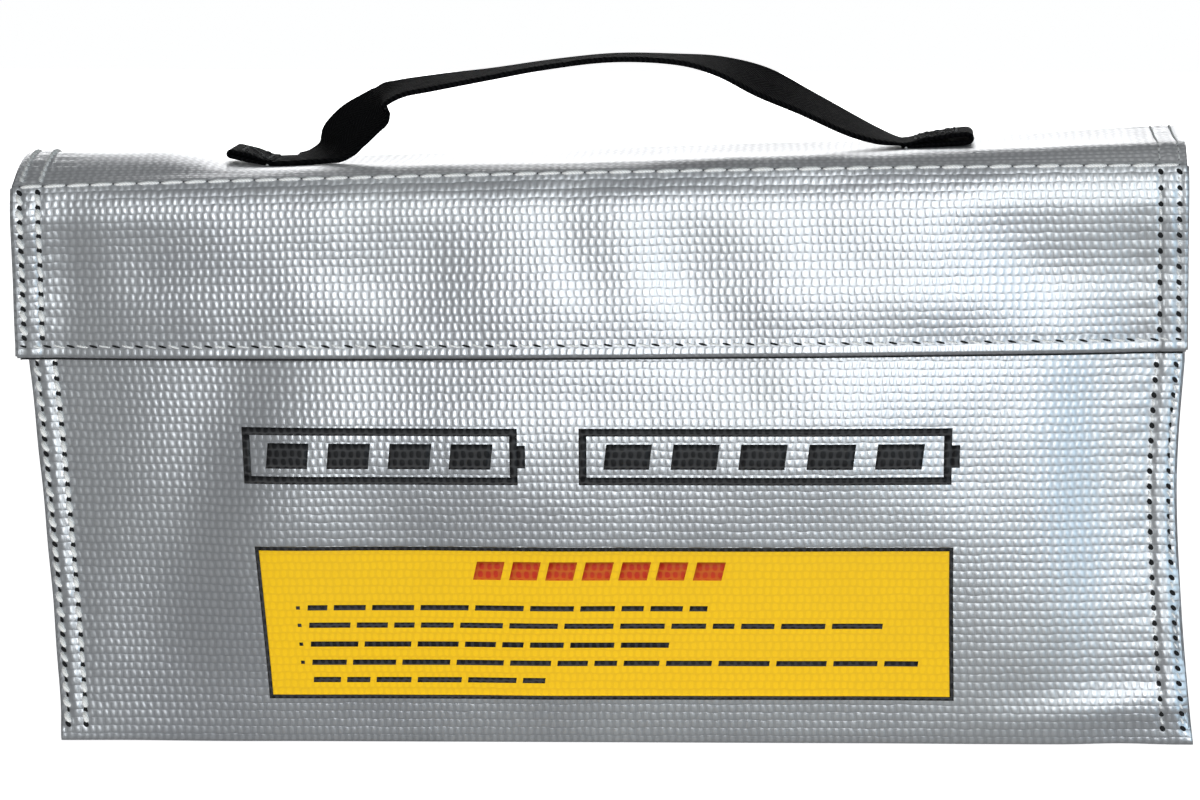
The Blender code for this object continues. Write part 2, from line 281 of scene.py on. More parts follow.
@dataclass(frozen=True)
class Weave:
    """A plain weave in coated yarn: rows of upright floats, each row shifted a little on the last."""

    float_pitch: float = 0.00155
    row_pitch: float = 0.00166
    shift: float = 0.24
    ground: float = 0.30
    drift: float = 0.0014
    jitter: float = 0.0005

    def floats(self, graph: Graph) -> bpy.types.NodeSocket:
        """Return the height of the woven surface, from 0 in the gaps to 1 on a float."""
        across, along = graph.pattern()
        place = graph.place()
        drift = graph.math("SUBTRACT", graph.lumps(place, 55, 1), 0.5)
        jitter = graph.math("SUBTRACT", graph.lumps(place, 480, 0), 0.5)
        slack = graph.math("SUBTRACT", graph.lumps(place, 430, 0), 0.5)
        across = graph.math("MULTIPLY_ADD", drift, self.drift, across)
        across = graph.math("MULTIPLY_ADD", jitter, self.jitter, across)
        along = graph.math("MULTIPLY_ADD", slack, self.jitter, along)
        row = graph.math("DIVIDE", along, self.row_pitch)
        odd = graph.math("PINGPONG", graph.math("FLOOR", row), 1.0)
        column = graph.math("MULTIPLY_ADD", odd, self.shift, graph.math("DIVIDE", across, self.float_pitch))
        wide = graph.math("ABSOLUTE", graph.math("SINE", graph.math("MULTIPLY", column, math.pi)))
        high = graph.math("ABSOLUTE", graph.math("SINE", graph.math("MULTIPLY", row, math.pi)))
        crown = graph.math("POWER", high, 0.7)
        raised = graph.math("MULTIPLY", graph.math("POWER", wide, 1.3), crown)
        ground = graph.math("MULTIPLY", graph.math("POWER", high, 0.5), self.ground)
        return graph.math("MAXIMUM", raised, ground)


@dataclass(frozen=True)
class CoatedCloth:
    """Silver-coated glass cloth, darker in the gaps of the weave and lighter on the floats: painted shade
    and painted highlight.
    """

    name: str
    # gap is the painted shade colour in the weave's gaps, crown the painted highlight colour on its floats.
    gap: tuple
    crown: tuple
    metallic: float
    roughness: float
    depth: float
    weave: Weave = Weave()

    def build(self) -> bpy.types.Material:
        """Make the material."""
        graph = Graph(self.name)
        floats = self.weave.floats(graph)
        spot = graph.place()
        handling = graph.lumps(spot, 16, 3, 0.55)
        grain = graph.lumps(spot, 1400, 2, 0.6)
        # The blend from the gap colour to the crown colour follows the weave's height: painted shade in the
        # gaps, painted highlight on the floats.
        lit = graph.math("MULTIPLY_ADD", grain, 0.25, graph.ramp(floats, 0.12, 0.85, 0.0, 0.85))
        color = graph.blend(lit, self.gap, self.crown)
        worn = graph.blend(graph.ramp(handling, 0.35, 0.7), (0.90, 0.90, 0.92), (1.0, 1.0, 1.0))
        shaded = graph.node("ShaderNodeMix", data_type="RGBA", blend_type="MULTIPLY")
        shaded.inputs["Factor"].default_value = 1
        graph.feed(shaded.inputs[6], color)
        graph.feed(shaded.inputs[7], worn)
        rough = graph.ramp(handling, 0.3, 0.75, self.roughness - 0.04, self.roughness + 0.06)
        rough = graph.math("SUBTRACT", rough, graph.math("MULTIPLY", floats, 0.08))
        graph.set(Base_Color=shaded.outputs[2], Metallic=self.metallic, Roughness=rough)
        height = graph.math("MULTIPLY_ADD", grain, 0.12, floats)
        graph.bump(height, self.depth)
        return graph.material


@dataclass(frozen=True)
class Ink:
    """Screen-printed ink, which lies over the weave and lets it show through as relief."""

    name: str
    color: tuple
    thin: tuple
    roughness: float = 0.42
    weave: Weave = Weave()

    def build(self) -> bpy.types.Material:
        """Make the material."""
        graph = Graph(self.name)
        floats = self.weave.floats(graph)
        spot = graph.place()
        patchy = graph.lumps(spot, 90, 3, 0.6)
        cover = graph.math("MULTIPLY", graph.ramp(floats, 0.1, 0.6), graph.ramp(patchy, 0.2, 0.6, 0.75, 1.0))
        rough = graph.ramp(patchy, 0.3, 0.7, self.roughness - 0.05, self.roughness + 0.08)
        graph.set(Base_Color=graph.blend(cover, self.thin, self.color), Roughness=rough)
        graph.set(Specular_IOR_Level=0.22)
        graph.bump(floats, 0.00005)
        return graph.material


@dataclass(frozen=True)
class Webbing:
    """Black ribbed webbing with a diagonal twill and a slight sheen."""

    name: str = "black_webbing"
    rib: float = 0.0011

    def build(self) -> bpy.types.Material:
        """Make the material."""
        graph = Graph(self.name)
        across, along = graph.pattern()
        lean = graph.math("MULTIPLY_ADD", graph.math("PINGPONG", across, 0.005), 0.9, along)
        ribs = graph.math("SINE", graph.math("MULTIPLY", lean, 2 * math.pi / self.rib))
        yarns = graph.math("SINE", graph.math("MULTIPLY", across, 2 * math.pi / 0.0009))
        relief = graph.math("MULTIPLY_ADD", yarns, 0.35, ribs)
        fuzz = graph.lumps(graph.place(), 900, 3, 0.7)
        relief = graph.math("MULTIPLY_ADD", fuzz, 0.8, relief)
        shade = graph.ramp(relief, -1.0, 1.6)
        graph.set(
            Base_Color=graph.blend(shade, (0.001, 0.001, 0.0012), (0.008, 0.008, 0.009)),
            Roughness=graph.ramp(fuzz, 0.3, 0.7, 0.70, 0.88),
            Specular_IOR_Level=0.06,
        )
        graph.bump(relief, 0.00016)
        return graph.material


@dataclass(frozen=True)
class Thread:
    """Twisted sewing thread."""

    name: str
    dark: tuple
    light: tuple

    def build(self) -> bpy.types.Material:
        """Make the material."""
        graph = Graph(self.name)
        ply = graph.node("ShaderNodeTexWave", bands_direction="DIAGONAL")
        graph.feed(ply.inputs["Vector"], graph.place())
        ply.inputs["Scale"].default_value = 900
        ply.inputs["Distortion"].default_value = 1.5
        twist = ply.outputs["Fac"]
        graph.set(Base_Color=graph.blend(twist, self.dark, self.light), Roughness=0.55, Sheen_Weight=0.2)
        graph.bump(twist, 0.00008)
        return graph.material


@dataclass(frozen=True)
class Pile:
    """The face of fastening tape: a dark nap of loops, or of hooks."""

    name: str
    size: float

    def build(self) -> bpy.types.Material:
        """Make the material."""
        graph = Graph(self.name)
        spot = graph.place()
        nap = graph.node("ShaderNodeTexVoronoi", feature="F1")
        graph.feed(nap.inputs["Vector"], spot)
        nap.inputs["Scale"].default_value = 1 / self.size
        hairs = graph.lumps(spot, 1500, 4, 0.7)
        height = graph.math("MULTIPLY_ADD", hairs, 0.6, graph.math("SUBTRACT", 1.0, nap.outputs["Distance"]))
        shade = graph.ramp(height, 0.5, 1.3)
        graph.set(
            Base_Color=graph.blend(shade, (0.006, 0.006, 0.007), (0.045, 0.045, 0.05)),
            Roughness=graph.ramp(hairs, 0.3, 0.7, 0.8, 0.95),
            Sheen_Weight=0.4,
        )
        graph.bump(height, 0.0004)
        return graph.material


@dataclass(frozen=True)
class Plain:
    """A dull even finish with a little grain, for needle holes and for the painted shadow strip under the
    flap's hem.
    """

    name: str
    color: tuple
    roughness: float

    def build(self) -> bpy.types.Material:
        """Make the material."""
        graph = Graph(self.name)
        grain = graph.lumps(graph.place(), 500, 2)
        dark = tuple(0.7 * part for part in self.color)
        graph.set(Base_Color=graph.blend(grain, dark, self.color), Roughness=self.roughness)
        return graph.material


@dataclass
class Wardrobe:
    """All the finishes of the bag, made once."""

    silver: bpy.types.Material = field(init=False)
    lining: bpy.types.Material = field(init=False)
    yellow: bpy.types.Material = field(init=False)
    black_ink: bpy.types.Material = field(init=False)
    red_ink: bpy.types.Material = field(init=False)
    webbing: bpy.types.Material = field(init=False)
    white_thread: bpy.types.Material = field(init=False)
    black_thread: bpy.types.Material = field(init=False)
    loops: bpy.types.Material = field(init=False)
    hooks: bpy.types.Material = field(init=False)
    # hole is the dark finish of the needle holes, of the hem's painted shadow slits and of the painted
    # shadow strip under the flap's hem.
    hole: bpy.types.Material = field(init=False)

    def __post_init__(self) -> None:
        """Build every finish."""
        # Each cloth's first colour is its painted shade in the weave's gaps, its second the painted
        # highlight on the floats.
        silver = CoatedCloth("silver_cloth", (0.62, 0.63, 0.645), (0.92, 0.93, 0.945), 0.90, 0.40, 0.00008)
        lining = CoatedCloth("lining_cloth", (0.24, 0.24, 0.24), (0.52, 0.52, 0.51), 0.25, 0.62, 0.00016)
        self.silver = silver.build()
        self.lining = lining.build()
        self.yellow = Ink("yellow_ink", (1.0, 0.60, 0.004), (0.90, 0.52, 0.006)).build()
        self.black_ink = Ink("black_ink", (0.008, 0.008, 0.009), (0.05, 0.05, 0.052)).build()
        self.red_ink = Ink("red_ink", (0.55, 0.03, 0.008), (0.60, 0.12, 0.01)).build()
        self.webbing = Webbing().build()
        self.white_thread = Thread("white_thread", (0.78, 0.78, 0.76), (0.98, 0.98, 0.96)).build()
        self.black_thread = Thread("black_thread", (0.006, 0.006, 0.006), (0.03, 0.03, 0.03)).build()
        self.loops = Pile("loop_pile", 0.0006).build()
        self.hooks = Pile("hook_pile", 0.0012).build()
        self.hole = Plain("needle_hole", (0.012, 0.012, 0.013), 0.9).build()


# ---------------------------------------------------------------- cloth


@dataclass
class ClothGrid:
    """A sheet on its own flat pattern. Its outer face is where across x along points."""

    across: np.ndarray
    along: np.ndarray
    spots: np.ndarray

    @classmethod
    def formed(cls, across: np.ndarray, along: np.ndarray, form: Callable) -> "ClothGrid":
        """Make a grid whose places form(u, v) gives for whole arrays at once."""
        u, v = np.meshgrid(across, along)
        return cls(across, along, np.stack(form(u, v), axis=-1))

    def normals(self) -> np.ndarray:
        """Return the outward normal at each point."""
        over = np.gradient(self.spots, self.across, axis=1, edge_order=1)
        up = np.gradient(self.spots, self.along, axis=0, edge_order=1)
        found = np.cross(over, up)
        return found / np.maximum(np.linalg.norm(found, axis=-1, keepdims=True), 1e-12)

    def push(self, height: np.ndarray) -> None:
        """Move every point along its normal."""
        self.spots = self.spots + self.normals() * height[..., None]

    def take_folds(self, coarse: "ClothGrid", inside: np.ndarray, **cloth) -> None:
        """Take on, where inside is true, the folds that a coarse copy of the sheet finds by itself."""
        wide, high = np.meshgrid(self.across, self.along)
        self.push(coarse.sample(relaxed(coarse, **cloth), wide, high)[..., 0] * inside)

    def sample(self, values: np.ndarray, u: np.ndarray, v: np.ndarray) -> np.ndarray:
        """Return values read between the grid's points, at flat places u and v."""
        column = np.interp(u, self.across, np.arange(len(self.across)))
        row = np.interp(v, self.along, np.arange(len(self.along)))
        left = np.clip(np.floor(column).astype(int), 0, len(self.across) - 2)
        low = np.clip(np.floor(row).astype(int), 0, len(self.along) - 2)
        a, b = (column - left)[..., None], (row - low)[..., None]
        bottom = values[low, left] * (1 - a) + values[low, left + 1] * a
        top = values[low + 1, left] * (1 - a) + values[low + 1, left + 1] * a
        return bottom * (1 - b) + top * b

    def at(self, u: np.ndarray, v: np.ndarray, lift: float | np.ndarray = 0.0) -> np.ndarray:
        """Return places on the cloth, or proud of it by lift."""
        u, v = np.broadcast_arrays(np.asarray(u, float), np.asarray(v, float))
        normal = self.sample(self.normals(), u, v)
        normal = normal / np.linalg.norm(normal, axis=-1, keepdims=True)
        return self.sample(self.spots, u, v) + normal * np.asarray(lift)[..., None]

    def patch(self, across: np.ndarray, along: np.ndarray, lift: float) -> "ClothGrid":
        """Return a smaller sheet that lies on this one."""
        u, v = np.meshgrid(across, along)
        return ClothGrid(across, along, self.at(u, v, lift))

    def foot_turned(self, gap: float, width: float) -> "ClothGrid":
        """Return the sheet with its lower edge turned under.

        Args:
            gap: From the outer face to the turned one.
            width: Width of the turned layer.

        Returns:
            The longer grid, whose pattern runs on past the fold.
        """
        across, along, spots, normal = self.across, self.along, self.spots, self.normals()
        layers, marks = [], []
        for inset in (width, 0.5 * width, 0.0012, 0.0002):
            level = np.full_like(across, along[0] + inset)
            layers.append(self.sample(spots, across, level) - self.sample(normal, across, level) * gap)
            marks.append(along[0] - inset - gap)
        away = spots[0] - spots[1]
        away /= np.linalg.norm(away, axis=-1, keepdims=True)
        layers.append(spots[0] - normal[0] * gap * 0.5 + away * gap * 0.35)
        marks.append(along[0] - gap * 0.5)
        return ClothGrid(across, np.concatenate([marks, along]), np.concatenate([np.array(layers), spots]))

    def side_turned(self, end: int, gap: float, width: float, rows: np.ndarray) -> "ClothGrid":
        """Return the strip of a side edge that is turned under.

        Args:
            end: Which side: -1 where across begins, 1 where it ends.
            gap: From the outer face to the turned one.
            width: Width of the turned layer.
            rows: The flat heights that the strip covers.

        Returns:
            The strip, whose pattern runs on past the edge.
        """
        edge = self.across[0 if end < 0 else -1]
        normal = self.normals()
        at_edge = self.at(np.full_like(rows, edge), rows)
        outward = self.sample(normal, np.full_like(rows, edge), rows)
        away = at_edge - self.at(np.full_like(rows, edge - end * 0.0005), rows)
        away /= np.linalg.norm(away, axis=-1, keepdims=True)
        layers = [at_edge - outward * 0.0001, at_edge - outward * gap * 0.5 + away * gap * 0.35]
        marks = [0.0, gap * 0.5]
        for inset in (0.0002, 0.0012, 0.5 * width, width):
            level = np.full_like(rows, edge - end * inset)
            layers.append(self.at(level, rows, -gap))
            marks.append(inset + gap)
        order = slice(None, None, -1) if end < 0 else slice(None)
        return ClothGrid(edge + end * np.array(marks)[order], rows, np.stack(layers[order], axis=1))

    def piece(self, name: str, material: bpy.types.Material, thickness: float) -> bpy.types.Object:
        """Make the sheet as a piece, thickened behind its outer face."""
        mesh = bpy.data.meshes.new(name)
        quads = quads_of(*self.spots.shape[:2])
        mesh.from_pydata(self.spots.reshape(-1, 3).tolist(), [], quads.tolist())
        u, v = np.meshgrid(self.across, self.along)
        flat = np.stack([u, v], axis=-1).reshape(-1, 2)
        corners = np.empty(len(mesh.loops), np.int32)
        mesh.loops.foreach_get("vertex_index", corners)
        layer = mesh.uv_layers.new(name=CLOTH_MAP)
        layer.data.foreach_set("uv", flat[corners].astype(np.float32).ravel())
        mesh.materials.append(material)
        piece = link(name, mesh)
        if thickness:
            thicken(piece, thickness)
        return piece

    def as_lining(
        self, name: str, node: str, body: str, material: bpy.types.Material, held: str = "stretched"
    ) -> None:
        """Make the sheet as a lining that rides on one body and stands for one node."""
        piece = self.piece(name, material, LINING)
        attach(piece, body)
        tagged(piece, "lining_cloth", node)

    @property
    def flat_size(self) -> tuple:
        """Return the width and length that the sheet is cut to."""
        return float(np.ptp(self.across)), float(np.ptp(self.along))


def relaxed(grid: ClothGrid, slack: float, pressure: float, most: float, steps=14) -> np.ndarray:
    """Let a coarse sheet, held at its edges, find its own folds.

    Args:
        grid: The sheet in its first shape.
        slack: How much longer the cloth is than its first shape, as a share.
        pressure: Push along the outer face.
        most: The furthest that a point may move.
        steps: Frames of cloth simulation.

    Returns:
        How far each point moved outwards, with one value in the last axis.
    """
    sheet = grid.piece("relaxing_sheet", bpy.data.materials[0], 0)
    rows, columns = grid.spots.shape[:2]
    index = np.arange(rows * columns).reshape(rows, columns)
    edge = np.concatenate([index[0], index[-1], index[:, 0], index[:, -1]])
    held = sheet.vertex_groups.new(name="held")
    held.add([int(number) for number in np.unique(edge)], 1.0, "REPLACE")
    cloth = sheet.modifiers.new("Cloth", "CLOTH")
    settings = cloth.settings
    settings.quality = 8
    settings.mass = 0.2
    settings.tension_stiffness = settings.compression_stiffness = 25
    settings.shear_stiffness = 12
    settings.bending_stiffness = 1.2
    settings.vertex_group_mass = "held"
    settings.shrink_min = -slack
    settings.use_pressure = True
    settings.uniform_pressure_force = pressure
    settings.effector_weights.gravity = 0
    cloth.collision_settings.use_collision = False
    scene = bpy.context.scene
    for step in range(1, steps + 1):
        scene.frame_set(step)
    shape = sheet.evaluated_get(bpy.context.evaluated_depsgraph_get()).to_mesh()
    moved = np.empty(len(shape.vertices) * 3, np.float32)
    shape.vertices.foreach_get("co", moved)
    bpy.data.objects.remove(sheet, do_unlink=True)
    scene.frame_set(1)
    height = ((moved.reshape(grid.spots.shape) - grid.spots) * grid.normals()).sum(axis=-1)
    for _ in range(5):
        around = height[:-2, 1:-1] + height[2:, 1:-1] + height[1:-1, :-2] + height[1:-1, 2:]
        height[1:-1, 1:-1] = 0.4 * height[1:-1, 1:-1] + 0.15 * around
    for line in (np.s_[0], np.s_[-1], np.s_[:, 0], np.s_[:, -1]):
        height[line] = 0
    return (height * most / max(float(np.abs(height).max()), most))[..., None]


@dataclass(frozen=True)
class Dent:
    """A soft dent or fold in a sheet, at a flat place on its pattern."""

    across: float
    along: float
    wide: float
    long: float
    height: float
    turn: float = 0.0

    def relief(self, u: np.ndarray, v: np.ndarray) -> np.ndarray:
        """Return the height that the dent adds."""
        c, s = math.cos(self.turn), math.sin(self.turn)
        x = ((u - self.across) * c + (v - self.along) * s) / self.wide
        y = ((v - self.along) * c - (u - self.across) * s) / self.long
        return self.height * np.exp(-(x * x) - y * y)


@dataclass(frozen=True)
class Pucker:
    """What two rows of stitching do to the cloth along an edge."""

    rows: tuple = (0.0016, 0.0054)
    depth: float = 0.00026
    pitch: float = STITCH_PITCH

    def relief(self, inset: np.ndarray, along: np.ndarray) -> np.ndarray:
        """Return the height of the cloth at a distance from the edge."""
        beat = np.cos(2 * np.pi * along / self.pitch)
        height = np.zeros_like(inset)
        for row in self.rows:
            height -= self.depth * (0.7 + 0.3 * beat) * np.exp(-(((inset - row) / 0.0006) ** 2))
        puff = np.exp(-(((inset - sum(self.rows) / len(self.rows)) / 0.0011) ** 2))
        height += 0.00016 * puff * (1 + 0.5 * np.sin(2 * np.pi * along / self.pitch / 1.9))
        beyond = smooth(inset, self.rows[-1] + 0.0005, self.rows[-1] + 0.002)
        beyond = beyond * (1 - smooth(inset, self.rows[-1] + 0.002, self.rows[-1] + 0.007))
        return height + 0.00006 * beyond * np.sin(2 * np.pi * along / self.pitch / 1.5)


def columns_for(half: float, coarse: float) -> np.ndarray:
    """Return a sheet's flat columns, close together along its sewn edges."""
    fine = np.array([0, 0.4, 0.8, 1.2, 1.6, 2.0, 2.6, 3.5, 4.3, 4.9, 5.4, 5.9, 6.5, 7.4, 8.8, 10.8]) / 1000
    count = max(4, round(2 * (half - fine[-1]) / coarse))
    middle = np.linspace(-half + fine[-1], half - fine[-1], count + 1)[1:-1]
    return np.concatenate([-half + fine, middle, half - fine[::-1]])


# ---------------------------------------------------------------- stitches


class Ply(Enum):
    """Which thread a row is sewn with."""

    WHITE = "white_thread"
    BLACK = "black_thread"


@dataclass(frozen=True)
class Run:
    """How a row is sewn.

    pitch is from one needle hole to the next, slant how far each stitch leans off the line, as a
    share of its length, reach its length as a share of the pitch, gauge the thread's thickness as
    a share of the usual, pierced the width of a hole, slit its length as a share of its width, and
    lift the height of the sewn face above the sheet.
    """

    pitch: float = STITCH_PITCH
    ply: Ply = Ply.WHITE
    slant: float = 0.12
    reach: float = 0.74
    gauge: float = 1.0
    pierced: float = 0.0009
    slit: float = 1.0
    lift: float = 0.0

    @classmethod
    def of_seam(cls, side: str, row: str) -> "Run":
        """Return the run of an upright seam: thick and crowded on the left, fine on the right."""
        slant = 0.5 if row == "outer" else 0.2
        reach, gauge = (0.88, 1.55) if side == "left" else (0.5, 0.6)
        # The wide dark holes are partly real needle holes and partly painted shadow beside the chunky
        # stitches.
        return cls(slant=slant, reach=reach, gauge=gauge, pierced=0.0013)


@dataclass
class Sewing:
    """The sewing kit: one modelled stitch and one needle hole, copied along every row."""

    wardrobe: Wardrobe
    thickness: float = 0.00066
    stitch: tuple = field(init=False)
    hole: tuple = field(init=False)

    def __post_init__(self) -> None:
        """Model the stitch and the hole."""
        self.stitch = self.model_stitch()
        self.hole = self.model_hole()

    def take(self) -> tuple:
        """Read the active piece's mesh as arrays and remove it."""
        piece = bpy.context.active_object
        spots = np.array([vertex.co for vertex in piece.data.vertices])
        faces = [list(face.vertices) for face in piece.data.polygons]
        bpy.data.objects.remove(piece, do_unlink=True)
        return spots, faces

    def model_stitch(self) -> tuple:
        """Model a stitch of unit length along X, whose ends dive into the cloth."""
        deselect()
        bpy.ops.mesh.primitive_uv_sphere_add(segments=8, ring_count=8, radius=0.5)
        bpy.ops.object.mode_set(mode="EDIT")
        bpy.ops.mesh.select_all(action="SELECT")
        bpy.ops.transform.rotate(value=math.pi / 2, orient_axis="Y", center_override=(0, 0, 0))
        bpy.ops.object.mode_set(mode="OBJECT")
        spots, faces = self.take()
        along = spots[:, 0] * 2
        fuller = np.sqrt(np.clip(1 - along**2, 0, 1))
        swell = np.where(fuller > 0.05, np.clip(1 - along**4, 0, 1) ** 0.5 / np.maximum(fuller, 0.05), 1)
        spots[:, 1:] *= swell[:, None]
        spots[:, 2] += 0.30 - 0.62 * along**2
        return spots, faces

    def model_hole(self) -> tuple:
        """Model a needle hole: a small round of unit width that lies on the cloth."""
        deselect()
        bpy.ops.mesh.primitive_circle_add(vertices=8, radius=0.5, fill_type="TRIFAN")
        return self.take()

    def row(self, name: str, cloth: ClothGrid, path: np.ndarray, run: Run = Run()) -> bpy.types.Object:
        """Sew a row of stitches along a flat path on a sheet.

        Args:
            name: The piece's name.
            cloth: The sheet that is sewn.
            path: The flat points of the row's line, two or more.
            run: How it is sewn.

        Returns:
            The row as one piece, with the holes in its second material.
        """
        legs = np.linalg.norm(np.diff(path, axis=0), axis=1)
        marks = np.concatenate([[0], np.cumsum(legs)])
        count = max(1, round(marks[-1] / run.pitch))
        ends = np.linspace(0, marks[-1], count + 1)
        u, v = (np.interp(ends, marks, path[:, axis]) for axis in (0, 1))
        holes = cloth.at(u, v, run.lift)
        upright = (cloth.at(u, v, run.lift + 0.001) - holes) / 0.001
        points, faces, kinds = [], [], []
        shape, shape_faces = self.stitch
        round_, round_faces = self.hole
        for step in range(count):
            middle = (holes[step] + holes[step + 1]) / 2
            way = holes[step + 1] - holes[step]
            length = float(np.linalg.norm(way))
            if length < 1e-6:
                continue
            way = way / length
            up = upright[step] + upright[step + 1]
            up = up - way * float(up @ way)
            up = up / np.linalg.norm(up)
            over = np.cross(up, way)
            wobble = 1 + 0.35 * math.sin(7.3 * step + u[step] * 900 + v[step] * 400)
            lean = way + over * run.slant * wobble
            lean = lean / np.linalg.norm(lean)
            width = self.thickness * run.gauge * (1 + 0.12 * math.sin(3.1 * step + v[step] * 700))
            body = shape * np.array([length * run.reach, width, width])
            offset = len(points)
            turned = middle + np.outer(body[:, 0], lean) + np.outer(body[:, 1], np.cross(up, lean))
            points.extend((turned + np.outer(body[:, 2], up)).tolist())
            faces.extend([[offset + number for number in face] for face in shape_faces])
            kinds.extend([0] * len(shape_faces))
        for step in range(count + 1):
            near = min(step, count - 1)
            way = holes[near + 1] - holes[near]
            way = way / max(float(np.linalg.norm(way)), 1e-9)
            over = np.cross(upright[step], way)
            way = way + over * run.slant
            body = round_ * np.array([run.pierced * run.slit, run.pierced * 0.9, 0])
            offset = len(points)
            spot = holes[step] + upright[step] * 0.0001
            points.extend((spot + np.outer(body[:, 0], way) + np.outer(body[:, 1], over)).tolist())
            faces.extend([[offset + number for number in face] for face in round_faces])
            kinds.extend([1] * len(round_faces))
        mesh = bpy.data.meshes.new(name)
        mesh.from_pydata(points, [], faces)
        mesh.materials.append(getattr(self.wardrobe, run.ply.value))
        mesh.materials.append(self.wardrobe.hole)
        mesh.polygons.foreach_set("material_index", kinds)
        return link(name, mesh)


# ---------------------------------------------------------------- how the bag stands


@dataclass
class Stance:
    """The shape that the soft bag takes as it stands, on top of the frame's sizes."""

    half_width: float
    half_depth: float
    height: float
    flange: float
    lid_half: float
    ridge_y: float
    hem_z: float
    belly_depth: float = 0.0062
    back_depth: float = 0.003
    rear_radius: float = 0.0025
    ridge_back: float = 0.0021

    @property
    def lid_front(self) -> float:
        """Return the Y where the lid's cloth turns down into the flap."""
        return self.ridge_y + self.ridge_back

    @classmethod
    def of_frame(cls) -> "Stance":
        """Read the bag's sizes from the frame."""
        panel_high = corners_of("front_panel")[1]
        lid_low, lid_high = corners_of("lid_panel")
        return cls(
            half_width=float(panel_high[0]),
            half_depth=float(corners_of("bottom_panel")[1][1]),
            height=float(panel_high[2]),
            flange=float(panel_high[0] - GUSSET_X),
            lid_half=float(lid_high[0]),
            ridge_y=float(lid_low[1]),
            hem_z=float(corners_of("flap_panel")[0][2]),
        )

    @property
    def gusset_x(self) -> float:
        """Return where a gusset leaves its sewn edge."""
        return self.half_width - self.flange

    def sway(self, x: np.ndarray, z: np.ndarray) -> np.ndarray:
        """Return how far the body leans off its pattern, in X: its foot is swung to the right."""
        rise = np.clip(z, 0, 0.080)
        taper = 0.0042 - 0.0055 * (rise / 0.077) ** 1.4
        flare = 0.0024 + 0.0037 * np.clip(1 - rise / 0.054, 0, 1) ** 1.6
        flare = flare + 0.0013 * np.clip((rise - 0.054) / 0.023, 0, 1.1) ** 1.5
        left = np.clip(-x / self.half_width, 0, 1)
        right = np.clip(x / self.half_width, 0, 1) ** 2
        low = np.clip(1 - z / 0.045, 0, 1)
        drawn = 0.0016 * np.exp(-(((x + 0.072) / 0.026) ** 2))
        drawn = drawn - 0.0010 * np.exp(-(((x - 0.070) / 0.026) ** 2))
        return left * taper + right * flare + drawn * low

    def fullness(self, x: np.ndarray) -> np.ndarray:
        """Return how far a panel may stand out at x, from 0 on the flanges to 1 in the middle."""
        share = np.clip(np.abs(x) / self.gusset_x, 0, 1)
        return 1 - share**2.4

    def belly(self, x: np.ndarray, z: np.ndarray) -> np.ndarray:
        """Return how far the front stands out."""
        share = np.clip(z / self.height, 0, 1)
        return self.belly_depth * self.fullness(x) * np.sin(np.pi * share**0.95)

    def rear(self, x: np.ndarray, z: np.ndarray) -> np.ndarray:
        """Return how far the back stands out."""
        share = np.clip(z / self.height, 0, 1)
        return self.back_depth * self.fullness(x) * np.sin(np.pi * share**0.8)

    def ridge_z(self, x: np.ndarray) -> np.ndarray:
        """Return the height of the fold between lid and flap, which droops at its left end."""
        share = x / self.lid_half
        return 0.1185 + 0.00225 * share - 0.0008 * share**2

    def domed(self, x: np.ndarray) -> np.ndarray:
        """Return how far the lid's left end is slumped into a low dome, from 0 to 1."""
        return smooth(-x, 0.066, 0.094)

    def rear_z(self, x: np.ndarray) -> np.ndarray:
        """Return the height of the fold between back and lid."""
        return 0.1186 + 0.0032 * x / self.lid_half

    def lid_z(self, x: np.ndarray, share: np.ndarray) -> np.ndarray:
        """Return the lid's height, at a share of the way from its rear fold to its ridge."""
        side = np.clip(x / self.lid_half, -1, 1)
        behind = (1 - share) * (self.half_depth - self.lid_front)
        level = self.rear_z(x) + (self.ridge_z(x) - self.rear_z(x)) * share
        swell = 0.0016 + 0.0004 * side + 0.0034 * np.clip(side - 0.5, 0, 0.5)
        run = 0.010 + 0.003 * np.clip(side, 0, 1)
        ramp = np.sin(np.pi / 2 * np.clip(behind / run, 0, 1))
        flat = swell * ramp * smooth(share, 0.0, 0.24) - 0.0003 * np.sin(np.pi * share)
        dome = 0.0050 * np.sin(np.pi * np.clip(behind / 0.052, 0, 1))
        return level + flat + (dome - flat) * self.domed(x)

    def settle(self, x: np.ndarray, z: np.ndarray) -> np.ndarray:
        """Return how far the body's rim sinks at its left end, below the slumped lid."""
        return 0.0046 * smooth(-x, 0.035, 0.105) * smooth(z, 0.078, self.height)

    def crease(self, z: np.ndarray) -> np.ndarray:
        """Return how far a gusset's middle is folded in."""
        return 0.0015 + 0.0085 * np.clip(z / self.height, 0, 1) ** 1.15


# ---------------------------------------------------------------- the body


